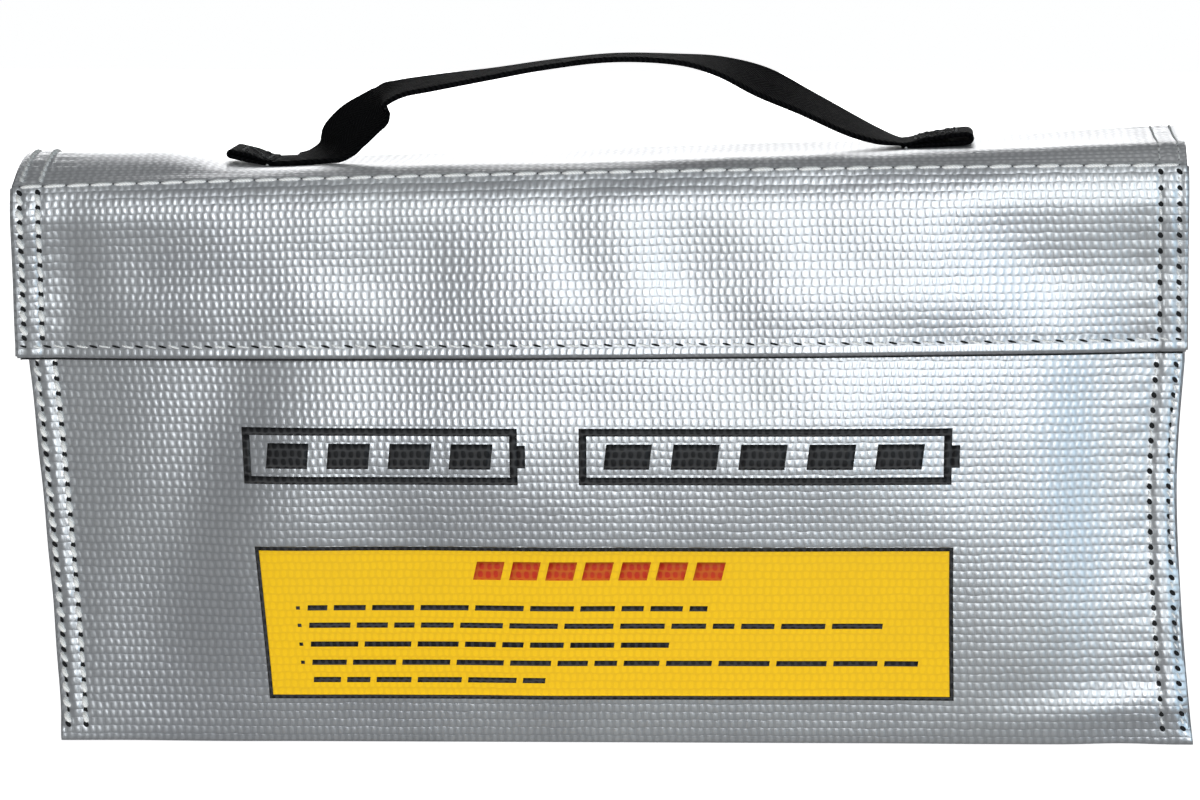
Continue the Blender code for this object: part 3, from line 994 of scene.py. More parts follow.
@dataclass
class Pouch:
    """The body of the bag: outer cloth, gussets, linings, seams and loop tape."""

    stance: Stance
    wardrobe: Wardrobe
    sewing: Sewing
    fold: float = 0.0010
    front: ClothGrid = field(init=False)
    folds: tuple = field(init=False)
    gussets: dict = field(init=False, default_factory=dict)

    def front_form(self, u: np.ndarray, v: np.ndarray) -> tuple:
        """Place the front and the floor: v is 0 at the fold between them and rises up the front."""
        stance, fold = self.stance, self.fold
        turn = (1 - np.clip(v / fold, -1, 1)) * np.pi / 4
        z = fold - fold * np.sin(turn) + np.maximum(v - fold, 0)
        y = -stance.half_depth + fold - fold * np.cos(turn) + np.maximum(-v - fold, 0)
        y = y - stance.belly(u, z) * (v > 0)
        return u + stance.sway(u, z), y, z - stance.settle(u, z)

    def build_front(self) -> None:
        """Form the front and the floor, with the folds that the cloth finds by itself."""
        stance = self.stance
        coarse_u = np.linspace(-stance.gusset_x, stance.gusset_x, 45)
        coarse_v = np.linspace(0.001, stance.height, 25)
        coarse = ClothGrid.formed(coarse_u, coarse_v, self.front_form)
        self.folds = (coarse, relaxed(coarse, slack=0.004, pressure=0.3, most=0.0009))

        u = columns_for(stance.half_width, 0.0026)
        rise = np.arange(0, stance.height + 0.0001, STITCH_PITCH / 4)[3:]
        bend = np.array([-1.0, -0.5, 0.0, 0.5, 1.0]) * self.fold
        floor = np.linspace(-2 * stance.half_depth + self.fold, -0.003, 20)
        v = np.concatenate([floor, bend, rise, [stance.height]])
        grid = ClothGrid.formed(u, v, self.front_form)
        wide, high = np.meshgrid(u, v)
        inside = (np.abs(wide) < stance.gusset_x) & (high > 0.001)
        grid.push(self.bulge(wide, high) * inside)

        upright = smooth(high, 0.001, 0.006)
        relief = Pucker().relief(stance.half_width - np.abs(wide), high) * upright
        relief += 0.00026 * rumple(grid.spots, 0.034, 3.1) * upright
        relief += 0.00010 * rumple(grid.spots, 0.009, 8.4) * upright
        for dent in FRONT_DENTS:
            relief += dent.relief(wide, high)
        grid.push(relief)
        roll = smooth(np.abs(wide), stance.half_width - 0.0022, stance.half_width) * (high > 0)
        wave = 1 + 0.4 * np.sin(high * 2 * np.pi / 0.021 + wide * 9)
        grid.spots[..., 1] += 0.0011 * roll * wave * upright
        grid.spots[..., 2] = np.where(high <= 0, np.maximum(grid.spots[..., 2], 0), grid.spots[..., 2])
        self.front = grid
        piece = grid.piece("front_and_floor_cloth", self.wardrobe.silver, CLOTH)
        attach(piece, "body")
        tagged(piece, "outer_cloth", "front_panel", "bottom_panel")

    def bulge(self, x: np.ndarray, z: np.ndarray) -> np.ndarray:
        """Return how far the front's own folds stand out."""
        coarse, folds = self.folds
        return coarse.sample(folds, x, z)[..., 0]

    def gusset_form(self, side: int) -> Callable:
        """Return the form of one gusset: u runs round its plan, v up, below 0 along its foot."""
        stance = self.stance
        inner_y = stance.half_depth - CLOTH - 0.00045
        foot_z = CLOTH + 0.0005

        def form(u: np.ndarray, v: np.ndarray) -> tuple:
            """Return the point of the gusset at each u and v."""
            flank = inner_y - 0.0004
            reach = np.abs(u)
            rise = np.clip(v, 0, None)
            z = foot_z + 0.0002 + rise
            wall = np.clip(1 - reach / flank, 0, 1)
            ease = smooth(wall, 0.0, 0.85) ** 0.8
            x = stance.gusset_x - stance.crease(z) * ease
            x = x + np.clip(reach - flank - 0.0008, 0, None)
            corner = smooth(reach, flank - 0.001, flank + 0.0008)
            x = x + 0.0006 * corner
            y = np.sign(u) * np.minimum(reach, inner_y)
            under = np.clip(-v, 0, None)
            x = np.where(v < 0, np.maximum(x, stance.gusset_x + under), x)
            z = np.where(v < 0, foot_z + 0.0002 * (1 - np.clip(under / 0.001, 0, 1)), z)
            x = np.minimum(x, stance.half_width - 0.0003)
            pattern_x = side * x
            return pattern_x + stance.sway(pattern_x, z), side * y, z - stance.settle(pattern_x, z)

        return form

    def build_gusset(self, name: str, side: int) -> None:
        """Form one gusset with its turned-out edges and its lining."""
        stance = self.stance
        inner_y = stance.half_depth - CLOTH - 0.00045
        half = inner_y + stance.flange
        form = self.gusset_form(side)
        coarse_u = np.linspace(-inner_y + 0.002, inner_y - 0.002, 17)
        coarse_v = np.linspace(0.001, stance.height - 0.002, 27)
        coarse = ClothGrid.formed(coarse_u, coarse_v, form)

        u = columns_for(half, 0.0022)
        rise = np.arange(0, stance.height - 0.002, STITCH_PITCH / 3)
        foot = -np.array([6.3, 5.4, 3.6, 1.6, 0.6]) / 1000
        v = np.concatenate([foot, rise])
        grid = ClothGrid.formed(u, v, form)
        wide, high = np.meshgrid(u, v)
        inside = (np.abs(wide) < inner_y - 0.002) & (high > 0.001)
        grid.take_folds(coarse, inside, slack=0.010, pressure=-0.1, most=0.0018)
        loose = smooth(inner_y - np.abs(wide), 0.001, 0.010) * smooth(high, 0.001, 0.012)
        relief = 0.0006 * rumple(grid.spots, 0.024, 5.5 * side) * loose
        relief += 0.0002 * rumple(grid.spots, 0.008, 2.5 * side) * loose
        grid.push(relief)
        self.gussets[name] = grid
        piece = grid.piece(f"{name}_gusset_cloth", self.wardrobe.silver, CLOTH)
        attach(piece, "body")
        tagged(piece, "outer_cloth", f"gusset_{name}")

        lining_u = np.linspace(-inner_y + 0.0015, inner_y - 0.0015, 31)
        lining_v = np.linspace(0.002, stance.height - 0.004, 50)
        lining = grid.patch(lining_u, lining_v, -CLOTH - LINING_GAP)
        lining.as_lining(f"{name}_lining_cloth", f"lining_{name}", "body", self.wardrobe.lining)

    def build_linings(self, back: ClothGrid) -> None:
        """Lay the front, back and floor linings behind their outer cloths."""
        stance = self.stance
        half = stance.gusset_x - 0.0022
        u = np.linspace(-half, half, 70)
        rise = np.linspace(0.0026, stance.height - 0.0006, 40)
        front = self.front.patch(u, rise, -CLOTH - LINING_GAP)
        floor_v = np.linspace(-2 * stance.half_depth + 0.004, -0.004, 20)
        floor = self.front.patch(np.linspace(-half + 0.002, half - 0.002, 60), floor_v, -CLOTH - 0.0011)
        rear = back.patch(u, np.linspace(0.0026, stance.height - 0.0030, 40), -CLOTH - LINING_GAP)
        for grid, name in ((front, "front"), (floor, "bottom"), (rear, "back")):
            grid.as_lining(f"{name}_lining_cloth", f"lining_{name}", "body", self.wardrobe.lining)

    def sew(self, back: ClothGrid) -> None:
        """Sew the double rows of the four upright seams, the floor seams and the mouth."""
        stance, sewing = self.stance, self.sewing
        top = stance.height - 0.003
        for side_name, side in SIDES:
            for row_name, inset in SEAM_ROWS:
                for face_name, cloth, sign in (("front", self.front, 1), ("rear", back, -1)):
                    u = sign * side * (stance.half_width - inset)
                    seam = f"{side_name}_{face_name}_{row_name}"
                    path = np.array([(u, 0.0035), (u, top)])
                    row = sewing.row(f"seam_stitches_{seam}", cloth, path, Run.of_seam(side_name, row_name))
                    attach(row, "body")
                    tagged(row, "white_thread", f"seam_thread_{seam}")
                self.sew_gusset(side_name, row_name, inset)
        half = stance.gusset_x - 0.003
        path = np.array([(-half, stance.height - 0.0025), (half, stance.height - 0.0025)])
        row = sewing.row("mouth_stitches", self.front, path, Run(HEM_PITCH))
        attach(row, "body")
        tagged(row, "white_thread", "mouth_thread")

    def sew_gusset(self, side_name: str, row_name: str, inset: float) -> None:
        """Sew the back of one row, where it shows on the gusset's turned-out edge."""
        grid = self.gussets[side_name]
        high = self.stance.height - 0.006
        left, right = grid.across[0] + inset, grid.across[-1] - inset
        foot = -0.0063 + inset
        paths = {
            "front": [(left, 0.0035), (left, high)],
            "rear": [(right, 0.0035), (right, high)],
            "floor": [(left + 0.006, foot), (right - 0.006, foot)],
        }
        for where, path in paths.items():
            row = self.sewing.row(f"under_stitches_{side_name}_{where}_{row_name}", grid, np.array(path))
            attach(row, "body")
            tagged(row, "white_thread")

    def tape(self) -> None:
        """Lay the loop tape across the front, under the flap, and sew it down."""
        low, high = corners_of("loop_tape")
        u = np.linspace(low[0], high[0], 101)
        v = np.linspace(low[2], high[2], 13)
        grid = self.front.patch(u, v, 0.00085)
        grid.push(0.00012 * rumple(grid.spots, 0.0025, 1.7))
        piece = grid.piece("loop_tape_pile", self.wardrobe.loops, 0.0008)
        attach(piece, "body")
        tagged(piece, "fastening_tape", "loop_tape")
        path = ring_of(low[[0, 2]], high[[0, 2]], 0.0018)
        row = self.sewing.row("loop_tape_stitches", self.front, path, Run(0.003, Ply.BLACK, lift=0.00085))
        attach(row, "body")
        tagged(row, "black_thread", "loop_tape_thread")


FRONT_DENTS = (
    Dent(0.100, 0.0075, 0.020, 0.0038, 0.0007, 0.12),
    Dent(0.096, 0.0220, 0.026, 0.0150, 0.0007, 0.12),
    Dent(-0.084, 0.052, 0.010, 0.034, -0.0012, -0.35),
    Dent(-0.062, 0.058, 0.012, 0.040, 0.0007, -0.35),
    Dent(-0.020, 0.072, 0.050, 0.006, -0.0004, 0.0),
    Dent(0.100, 0.050, 0.007, 0.050, -0.0008, 0.05),
)


# ---------------------------------------------------------------- prints


@dataclass
class Prints:
    """The printed label and title band: plain bars and signs, with nothing written."""

    front: ClothGrid
    wardrobe: Wardrobe
    border: float = 0.0008
    stretch: float = 1.035

    def stamp(self, name: str, blocks: list, material: bpy.types.Material, lift: float) -> bpy.types.Object:
        """Print rectangles, or slanted ones, on the front as one piece.

        Args:
            name: The piece's name.
            blocks: Each block's left, bottom, right, top and lean, flat and in metres.
            material: The ink.
            lift: Height of the ink's face above the cloth.

        Returns:
            The printed piece.
        """
        points, faces, flats = [], [], []
        for left, bottom, right, top, lean in blocks:
            columns = max(2, math.ceil((right - left) / 0.0016) + 1)
            rows = max(2, math.ceil((top - bottom) / 0.0016) + 1)
            v, share = np.linspace(bottom, top, rows), np.linspace(0, 1, columns)
            wide = left + (right - left) * share[None, :] + lean * (v[:, None] - bottom)
            high = np.repeat(v[:, None], columns, axis=1)
            spots = self.front.at(wide, high, lift).reshape(-1, 3)
            faces.extend(quads_of(rows, columns, len(points)).tolist())
            points.extend(spots.tolist())
            flats.extend(np.stack([wide, high], axis=-1).reshape(-1, 2).tolist())
        mesh = bpy.data.meshes.new(name)
        mesh.from_pydata(points, [], faces)
        layer = mesh.uv_layers.new(name=CLOTH_MAP)
        for loop, corner in zip(mesh.loops, layer.data):
            corner.uv = flats[loop.vertex_index]
        mesh.materials.append(material)
        piece = link(name, mesh)
        thicken(piece, 0.00003)
        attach(piece, "body")
        return piece

    def label(self) -> None:
        """Print the yellow panel with its frame, a red heading bar and rows of dark dashes."""
        low, high = corners_of("label_print")
        left, bottom, right, top = low[0], low[2] * self.stretch, high[0], high[2] * self.stretch
        panel = self.stamp("label_panel", [(left, bottom, right, top, 0)], self.wardrobe.yellow, 0.00006)
        tagged(panel, "label_ink", "label_print")
        dark = frame_of(left, bottom, right, top, self.border)
        width, height = right - left, top - bottom
        lines = ((0.60, 0.60), (0.485, 0.85), (0.36, 0.545), (0.24, 0.90), (0.125, 0.365))
        for number, (level, length) in enumerate(lines):
            z = bottom + height * level
            x = left + width * 0.052
            end = left + width * (0.055 + length)
            if number < 4:
                dark.append((x, z - 0.00035, x + 0.0008, z + 0.00035, 0))
            x += 0.0024
            step = number
            while x < end - 0.002:
                word = 0.0042 + 0.0062 * abs(math.sin(2.7 * step + number * 1.3))
                stop = min(x + word, end)
                dark.append((x, z - 0.00055, stop, z + 0.00055, 0.15))
                x = stop + 0.0014
                step += 1
        dashes = self.stamp("label_frame_and_dashes", dark, self.wardrobe.black_ink, 0.00010)
        tagged(dashes, "black_ink")
        middle, level = (left + right) / 2, bottom + height * 0.845
        heading = []
        for number in range(7):
            x = middle - 0.0262 + number * 0.0076
            heading.append((x, level - 0.0019, x + 0.0058, level + 0.0019, 0.25))
        red = self.stamp("label_heading_bars", heading, self.wardrobe.red_ink, 0.00010)
        tagged(red, "label_ink")

    def title(self) -> None:
        """Print the black band of plain signs: two cells and a row of charge bars."""
        low, high = corners_of("title_print")
        left, bottom, right, top = low[0], low[2] * self.stretch, high[0], high[2] * self.stretch
        height, line = top - bottom, 0.0016
        blocks = []

        def cell(x: float, width: float, bars: int) -> None:
            """Print one cell's case, its terminal and its charge bars."""
            blocks.extend(frame_of(x, bottom, x + width, top, line))
            blocks.append((x + width, bottom + height * 0.3, x + width + line, top - height * 0.3, 0))
            room = width - 2 * line
            pitch = room / (bars + 0.25)
            for number in range(bars):
                start = x + line + pitch * (number + 0.25)
                blocks.append((start, bottom + 2 * line, start + pitch * 0.68, top - 2 * line, 0.12))

        width = (right - left - 0.011) / 2 - line
        cell(left, width * 0.86, 4)
        cell(right - width * 1.14 - line, width * 1.14, 5)
        band = self.stamp("title_band_signs", blocks, self.wardrobe.black_ink, 0.00008)
        tagged(band, "black_ink", "title_print")


# ---------------------------------------------------------------- lid and flap


@dataclass
class LidAndBack:
    """The back and the lid, one cloth that bends at the rear fold, with its linings and rows."""

    stance: Stance
    wardrobe: Wardrobe
    sewing: Sewing
    cloth: ClothGrid = field(init=False)
    lid_from: float = field(init=False)
    lid_to: float = field(init=False)
    bend_start: tuple = (0, 0.0338, 0.1125)
    bend_end: tuple = (0, 0.0285, 0.1195)

    def form(self, u: np.ndarray, v: np.ndarray) -> tuple:
        """Place the back and the lid: v rises from the floor, over the rear fold, to the ridge."""
        stance = self.stance
        radius, fold = stance.rear_radius, 0.0010
        x = -u
        widen = smooth(v, self.lid_from - 0.006, self.lid_from + 0.012)
        wide = x * (1 + (stance.lid_half / stance.half_width - 1) * widen)
        rise = self.lid_from - radius * np.pi / 2
        share = np.clip((v - fold) / (rise - fold), 0, 1)
        top = stance.rear_z(wide) - radius
        z_back = fold + share * (top - fold)
        y_back = stance.half_depth + stance.rear(x, z_back)
        floor_turn = (1 - np.clip(v / fold, 0, 1)) * np.pi / 2
        z_back = np.where(v < fold, fold - fold * np.sin(floor_turn), z_back)
        y_back = np.where(v < fold, stance.half_depth - fold + fold * np.cos(floor_turn), y_back)
        arc = np.clip((v - rise) / (radius * np.pi / 2), 0, 1) * np.pi / 2
        y_arc = stance.half_depth - radius + radius * np.cos(arc)
        z_arc = top + radius * np.sin(arc)
        along = np.clip((v - self.lid_from) / (self.lid_to - self.lid_from), 0, 1)
        rear_y = stance.half_depth - radius
        y_lid = rear_y + (stance.lid_front - rear_y) * along
        z_lid = stance.lid_z(wide, along)
        y = np.where(v < rise, y_back, np.where(v < self.lid_from, y_arc, y_lid))
        z = np.where(v < rise, z_back, np.where(v < self.lid_from, z_arc, z_lid))
        sway = stance.sway(x, np.minimum(z, 0.08)) * (1 - widen)
        return wide + sway, y, z

    def build(self) -> None:
        """Form the cloth from the floor to the ridge."""
        stance = self.stance
        self.lid_from = stance.height + 0.0042
        self.lid_to = self.lid_from + stance.half_depth - stance.rear_radius - stance.lid_front + 0.0012
        u = columns_for(stance.half_width, 0.0030)
        rise = self.lid_from - stance.rear_radius * np.pi / 2
        step = STITCH_PITCH / 4
        v = np.concatenate(
            [
                [0, 0.0003, 0.0006, 0.0010],
                np.arange(0.0018, rise - 0.0004, step),
                np.linspace(rise, self.lid_from, 8),
                np.arange(self.lid_from + step, self.lid_to - step * 0.6, step),
                [self.lid_to],
            ]
        )
        grid = ClothGrid.formed(u, v, self.form)
        wide, high = np.meshgrid(u, v)
        coarse_u = np.linspace(-stance.gusset_x, stance.gusset_x, 41)
        coarse_v = np.linspace(0.002, rise - 0.001, 23)
        coarse = ClothGrid.formed(coarse_u, coarse_v, self.form)
        inside = (np.abs(wide) < stance.gusset_x) & (high > 0.002) & (high < rise - 0.001)
        grid.take_folds(coarse, inside, slack=0.005, pressure=0.2, most=0.0013)
        on_back = smooth(high, 0.002, 0.008)
        at_ridge = smooth(self.lid_to - high, 0.0004, 0.006)
        inset = stance.half_width - np.abs(wide)
        relief = Pucker().relief(inset, high) * on_back * smooth(self.lid_to - high, 0.0004, 0.002)
        relief += 0.0004 * rumple(grid.spots, 0.036, 6.2) * on_back * at_ridge
        relief += 0.00012 * rumple(grid.spots, 0.010, 1.9) * on_back * at_ridge
        for dent in self.lid_dents():
            relief += dent.relief(wide, high) * at_ridge
        grid.push(relief)
        self.cloth = grid
        piece = grid.piece("back_and_lid_cloth", self.wardrobe.silver, CLOTH)
        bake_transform(piece)
        tagged(piece, "outer_cloth", "back_panel", "lid_panel")

    def lid_dents(self) -> tuple:
        """Return the lid's shallow hollows beside the handle."""
        middle = (self.lid_from + self.lid_to) / 2
        return (
            Dent(0.0, middle, 0.045, 0.016, -0.0006),
            Dent(0.082, middle + 0.01, 0.02, 0.018, -0.0005, 0.3),
            Dent(-0.085, middle, 0.022, 0.02, -0.0006, -0.2),
        )

    def lid_v(self, y: float) -> float:
        """Return the flat place along the cloth of a Y on the lid."""
        rear_y = self.stance.half_depth - self.stance.rear_radius
        share = (rear_y - y) / (rear_y - self.stance.lid_front)
        return self.lid_from + share * (self.lid_to - self.lid_from)

    def sew(self) -> None:
        """Sew the double rows along the lid's sides."""
        low, high = self.lid_from - 0.001, self.lid_to - 0.0015
        for side_name, side in SIDES:
            run = Run(gauge=1.4 if side < 0 else 0.6, pierced=0.0003)
            for row_name, inset in SEAM_ROWS:
                u = -side * (self.stance.half_width - inset)
                path = np.array([(u, low), (u, high)])
                row = self.sewing.row(f"lid_stitches_{side_name}_{row_name}", self.cloth, path, run)
                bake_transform(row)
                tagged(row, "white_thread", f"lid_thread_{side_name}_{row_name}")

    def line(self) -> None:
        """Lay the lid's lining under it, with the two backing patches of the handle."""
        low, high = corners_of("lid_lining")
        scale = self.stance.half_width / self.stance.lid_half
        u = np.linspace(low[0] * scale, high[0] * scale, 80)
        v = np.linspace(self.lid_v(high[1] - 0.003), self.lid_v(low[1]), 26)
        grid = self.cloth.patch(u, v, -CLOTH - LINING_GAP)
        grid.as_lining("lid_lining_cloth", "lid_lining", "lid", self.wardrobe.lining)
        for side in ("left", "right"):
            low, high = corners_of(f"handle_patch_{side}")
            u = np.linspace(-high[0] * scale, -low[0] * scale, 9)
            v = np.linspace(self.lid_v(high[1]), self.lid_v(low[1]), 11)
            grid = self.cloth.patch(u, v, -CLOTH - LINING - 0.0005)
            piece = grid.piece(f"{side}_backing_patch", self.wardrobe.webbing, 0.0009)
            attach(piece, "lid")
            tagged(piece, "webbing", f"handle_patch_{side}")


@dataclass
class Flap:
    """The front flap: hemmed cloth, facing, hook tape and rows of stitching."""

    stance: Stance
    wardrobe: Wardrobe
    sewing: Sewing
    pouch: Pouch
    drop: float = 0.0365
    hem_stand: float = 0.0024
    tape_stand: float = 0.0031
    ridge_stand: float = 0.0052
    roll: float = 0.0095
    hem_gap: float = 0.00115
    hem_width: float = 0.0046
    cloth: ClothGrid = field(init=False)
    bend_start: tuple = (0, -0.0368, 0.1131)
    bend_end: tuple = (0, -0.0384, 0.1065)

    def hem_line(self, x: np.ndarray) -> np.ndarray:
        """Return the height of the hem, which hangs a little lower on the left."""
        return self.stance.hem_z + 0.0008 * x / self.stance.lid_half + 0.0016

    def form(self, u: np.ndarray, v: np.ndarray) -> tuple:
        """Place the flap: v is 0 at the hem and rises to the ridge."""
        stance = self.stance
        share = v / self.drop
        z = self.hem_line(u) + (stance.ridge_z(u) - self.hem_line(u)) * share
        stand = self.hem_stand + (self.tape_stand - self.hem_stand) * smooth(share, 0.0, 0.36)
        stand = stand + (self.ridge_stand - self.tape_stand) * smooth(share, 0.35, 0.95)
        stand = stand + self.pouch.bulge(u, z) * smooth(share, 1.0, 0.6)
        y = -(stance.half_depth + stance.belly(u, z) + stand)
        roll = np.clip((v - self.drop + self.roll) / self.roll, 0, 1)
        y = y + stance.ridge_back * roll**2.2
        left = np.clip(-u / stance.lid_half, 0, 1) ** 3
        x = u + 0.0005 * left * (1 - share)
        return x, y, z

    def build(self) -> None:
        """Form the flap with its turned hem and sides."""
        stance = self.stance
        half = stance.lid_half
        coarse_u = np.linspace(-half + 0.008, half - 0.008, 47)
        coarse = ClothGrid.formed(coarse_u, np.linspace(0.004, self.drop, 9), self.form)
        u = columns_for(half, 0.0026)
        step = STITCH_PITCH / 4
        rows = np.arange(step, self.drop - 0.0006, step)
        v = np.concatenate([[0, 0.0004], rows, [self.drop - 0.0004, self.drop]])
        grid = ClothGrid.formed(u, v, self.form)
        wide, high = np.meshgrid(u, v)
        inside = (np.abs(wide) < half - 0.008) & (high > 0.004)
        grid.take_folds(coarse, inside, slack=0.003, pressure=0.1, most=0.0005)
        top = smooth(self.drop - high, 0.0004, 0.004)
        relief = Pucker().relief(half - np.abs(wide), high) * smooth(self.drop - high, 0.0004, 0.002)
        beat = np.cos(2 * np.pi * wide / HEM_PITCH)
        relief -= 0.00022 * (0.75 + 0.25 * beat) * np.exp(-(((high - 0.0021) / 0.0006) ** 2))
        relief += 0.00018 * rumple(grid.spots, 0.030, 9.7) * top
        relief += 0.00012 * rumple(grid.spots, 0.009, 4.4) * top
        for dent in FLAP_DENTS:
            relief += dent.relief(wide, high) * top
        grid.push(relief)
        self.cloth = grid
        hemmed = grid.foot_turned(self.hem_gap, self.hem_width)
        flap = hemmed.piece("flap_cloth", self.wardrobe.silver, CLOTH)
        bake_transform(flap)
        tagged(flap, "outer_cloth", "flap_panel")
        # A thin dark strip just inside the hem's lower fold: painted shadow under the hem, where the flap
        # stands off the front.
        painted_hem_shadow = grid.patch(grid.across[2:-2], np.array([0.0, 0.0004, 0.0016]), -0.6 * self.hem_gap)
        painted_hem_shadow.spots[..., 2] -= self.hem_gap * 0.35 + 0.00035
        piece = painted_hem_shadow.piece("hem_painted_shadow_strip", self.wardrobe.hole, 0.0002)
        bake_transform(piece)
        hems = [tagged(piece, "lining_cloth")]
        for name, end in SIDES:
            hem = grid.side_turned(end, self.hem_gap, 0.0075, v[::2])
            piece = hem.piece(f"flap_{name}_hem_cloth", self.wardrobe.silver, CLOTH)
            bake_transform(piece)
            hems.append(tagged(piece, "outer_cloth"))

    def row(self, name: str, path: list, node: str, run: Run) -> None:
        """Sew one row on the flap."""
        made = self.sewing.row(name, self.cloth, np.array(path), run)
        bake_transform(made)
        tagged(made, "white_thread", node)

    def sew(self) -> None:
        """Sew the side rows, the hem and the ridge."""
        half, top = self.stance.lid_half, self.drop - 0.0015
        for side_name, side in SIDES:
            for row_name, inset in SEAM_ROWS:
                u, seam = side * (half - inset), f"{side_name}_{row_name}"
                run = Run.of_seam(side_name, row_name)
                self.row(f"flap_stitches_{seam}", [(u, 0.004), (u, top)], f"flap_thread_{seam}", run)
        edge = half - 0.0016
        # The hem's holes are long dark slits: painted shadow beside each stitch.
        hem = Run(HEM_PITCH, slant=-0.22, reach=0.55, gauge=0.6, pierced=0.00055, slit=3.4)
        self.row("hem_stitches", [(-edge, 0.0021), (edge, 0.0021)], "hem_thread", hem)
        level = self.drop - 0.0003
        ridge = Run(HEM_PITCH, slant=0.03, reach=0.99, gauge=1.1, pierced=0.0003)
        self.row("ridge_stitches", [(-edge, level), (edge, level)], "ridge_thread", ridge)

    def line(self) -> None:
        """Lay the facing and the hook tape on the inside of the flap."""
        low, high = corners_of("flap_lining")
        u = np.linspace(low[0], high[0], 90)
        v = np.linspace(self.hem_width + 0.0002, self.drop - 0.0105, 16)
        inner = self.cloth.patch(u, v, -CLOTH - 0.0001)
        inner.as_lining("flap_facing_cloth", "flap_lining", "flap", self.wardrobe.lining, held="hung")
        low, high = corners_of("hook_tape")
        hem = self.stance.hem_z
        u = np.linspace(-high[0], -low[0], 101)
        v = np.linspace(low[2] - hem, high[2] - hem, 13)
        wide, up = np.meshgrid(u, v)
        tape = ClothGrid(u, v, self.cloth.at(-wide, up, -CLOTH - LINING - 0.0009))
        tape.push(0.00008 * rumple(tape.spots, 0.002, 5.1))
        piece = tape.piece("hook_tape_pile", self.wardrobe.hooks, 0.0006)
        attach(piece, "flap")
        tagged(piece, "fastening_tape", "hook_tape")
        path = ring_of((u[0], v[0]), (u[-1], v[-1]), 0.0018)
        made = self.sewing.row("hook_tape_stitches", tape, path, Run(0.003, Ply.BLACK))
        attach(made, "flap")
        tagged(made, "black_thread", "hook_tape_thread")


FLAP_DENTS = (
    Dent(-0.004, 0.020, 0.007, 0.014, -0.0005, 0.35),
    Dent(0.008, 0.018, 0.012, 0.016, 0.0003, 0.35),
    Dent(-0.072, 0.020, 0.022, 0.010, -0.0004, 0.2),
    Dent(-0.110, 0.020, 0.006, 0.020, -0.0005),
)


# ---------------------------------------------------------------- handle


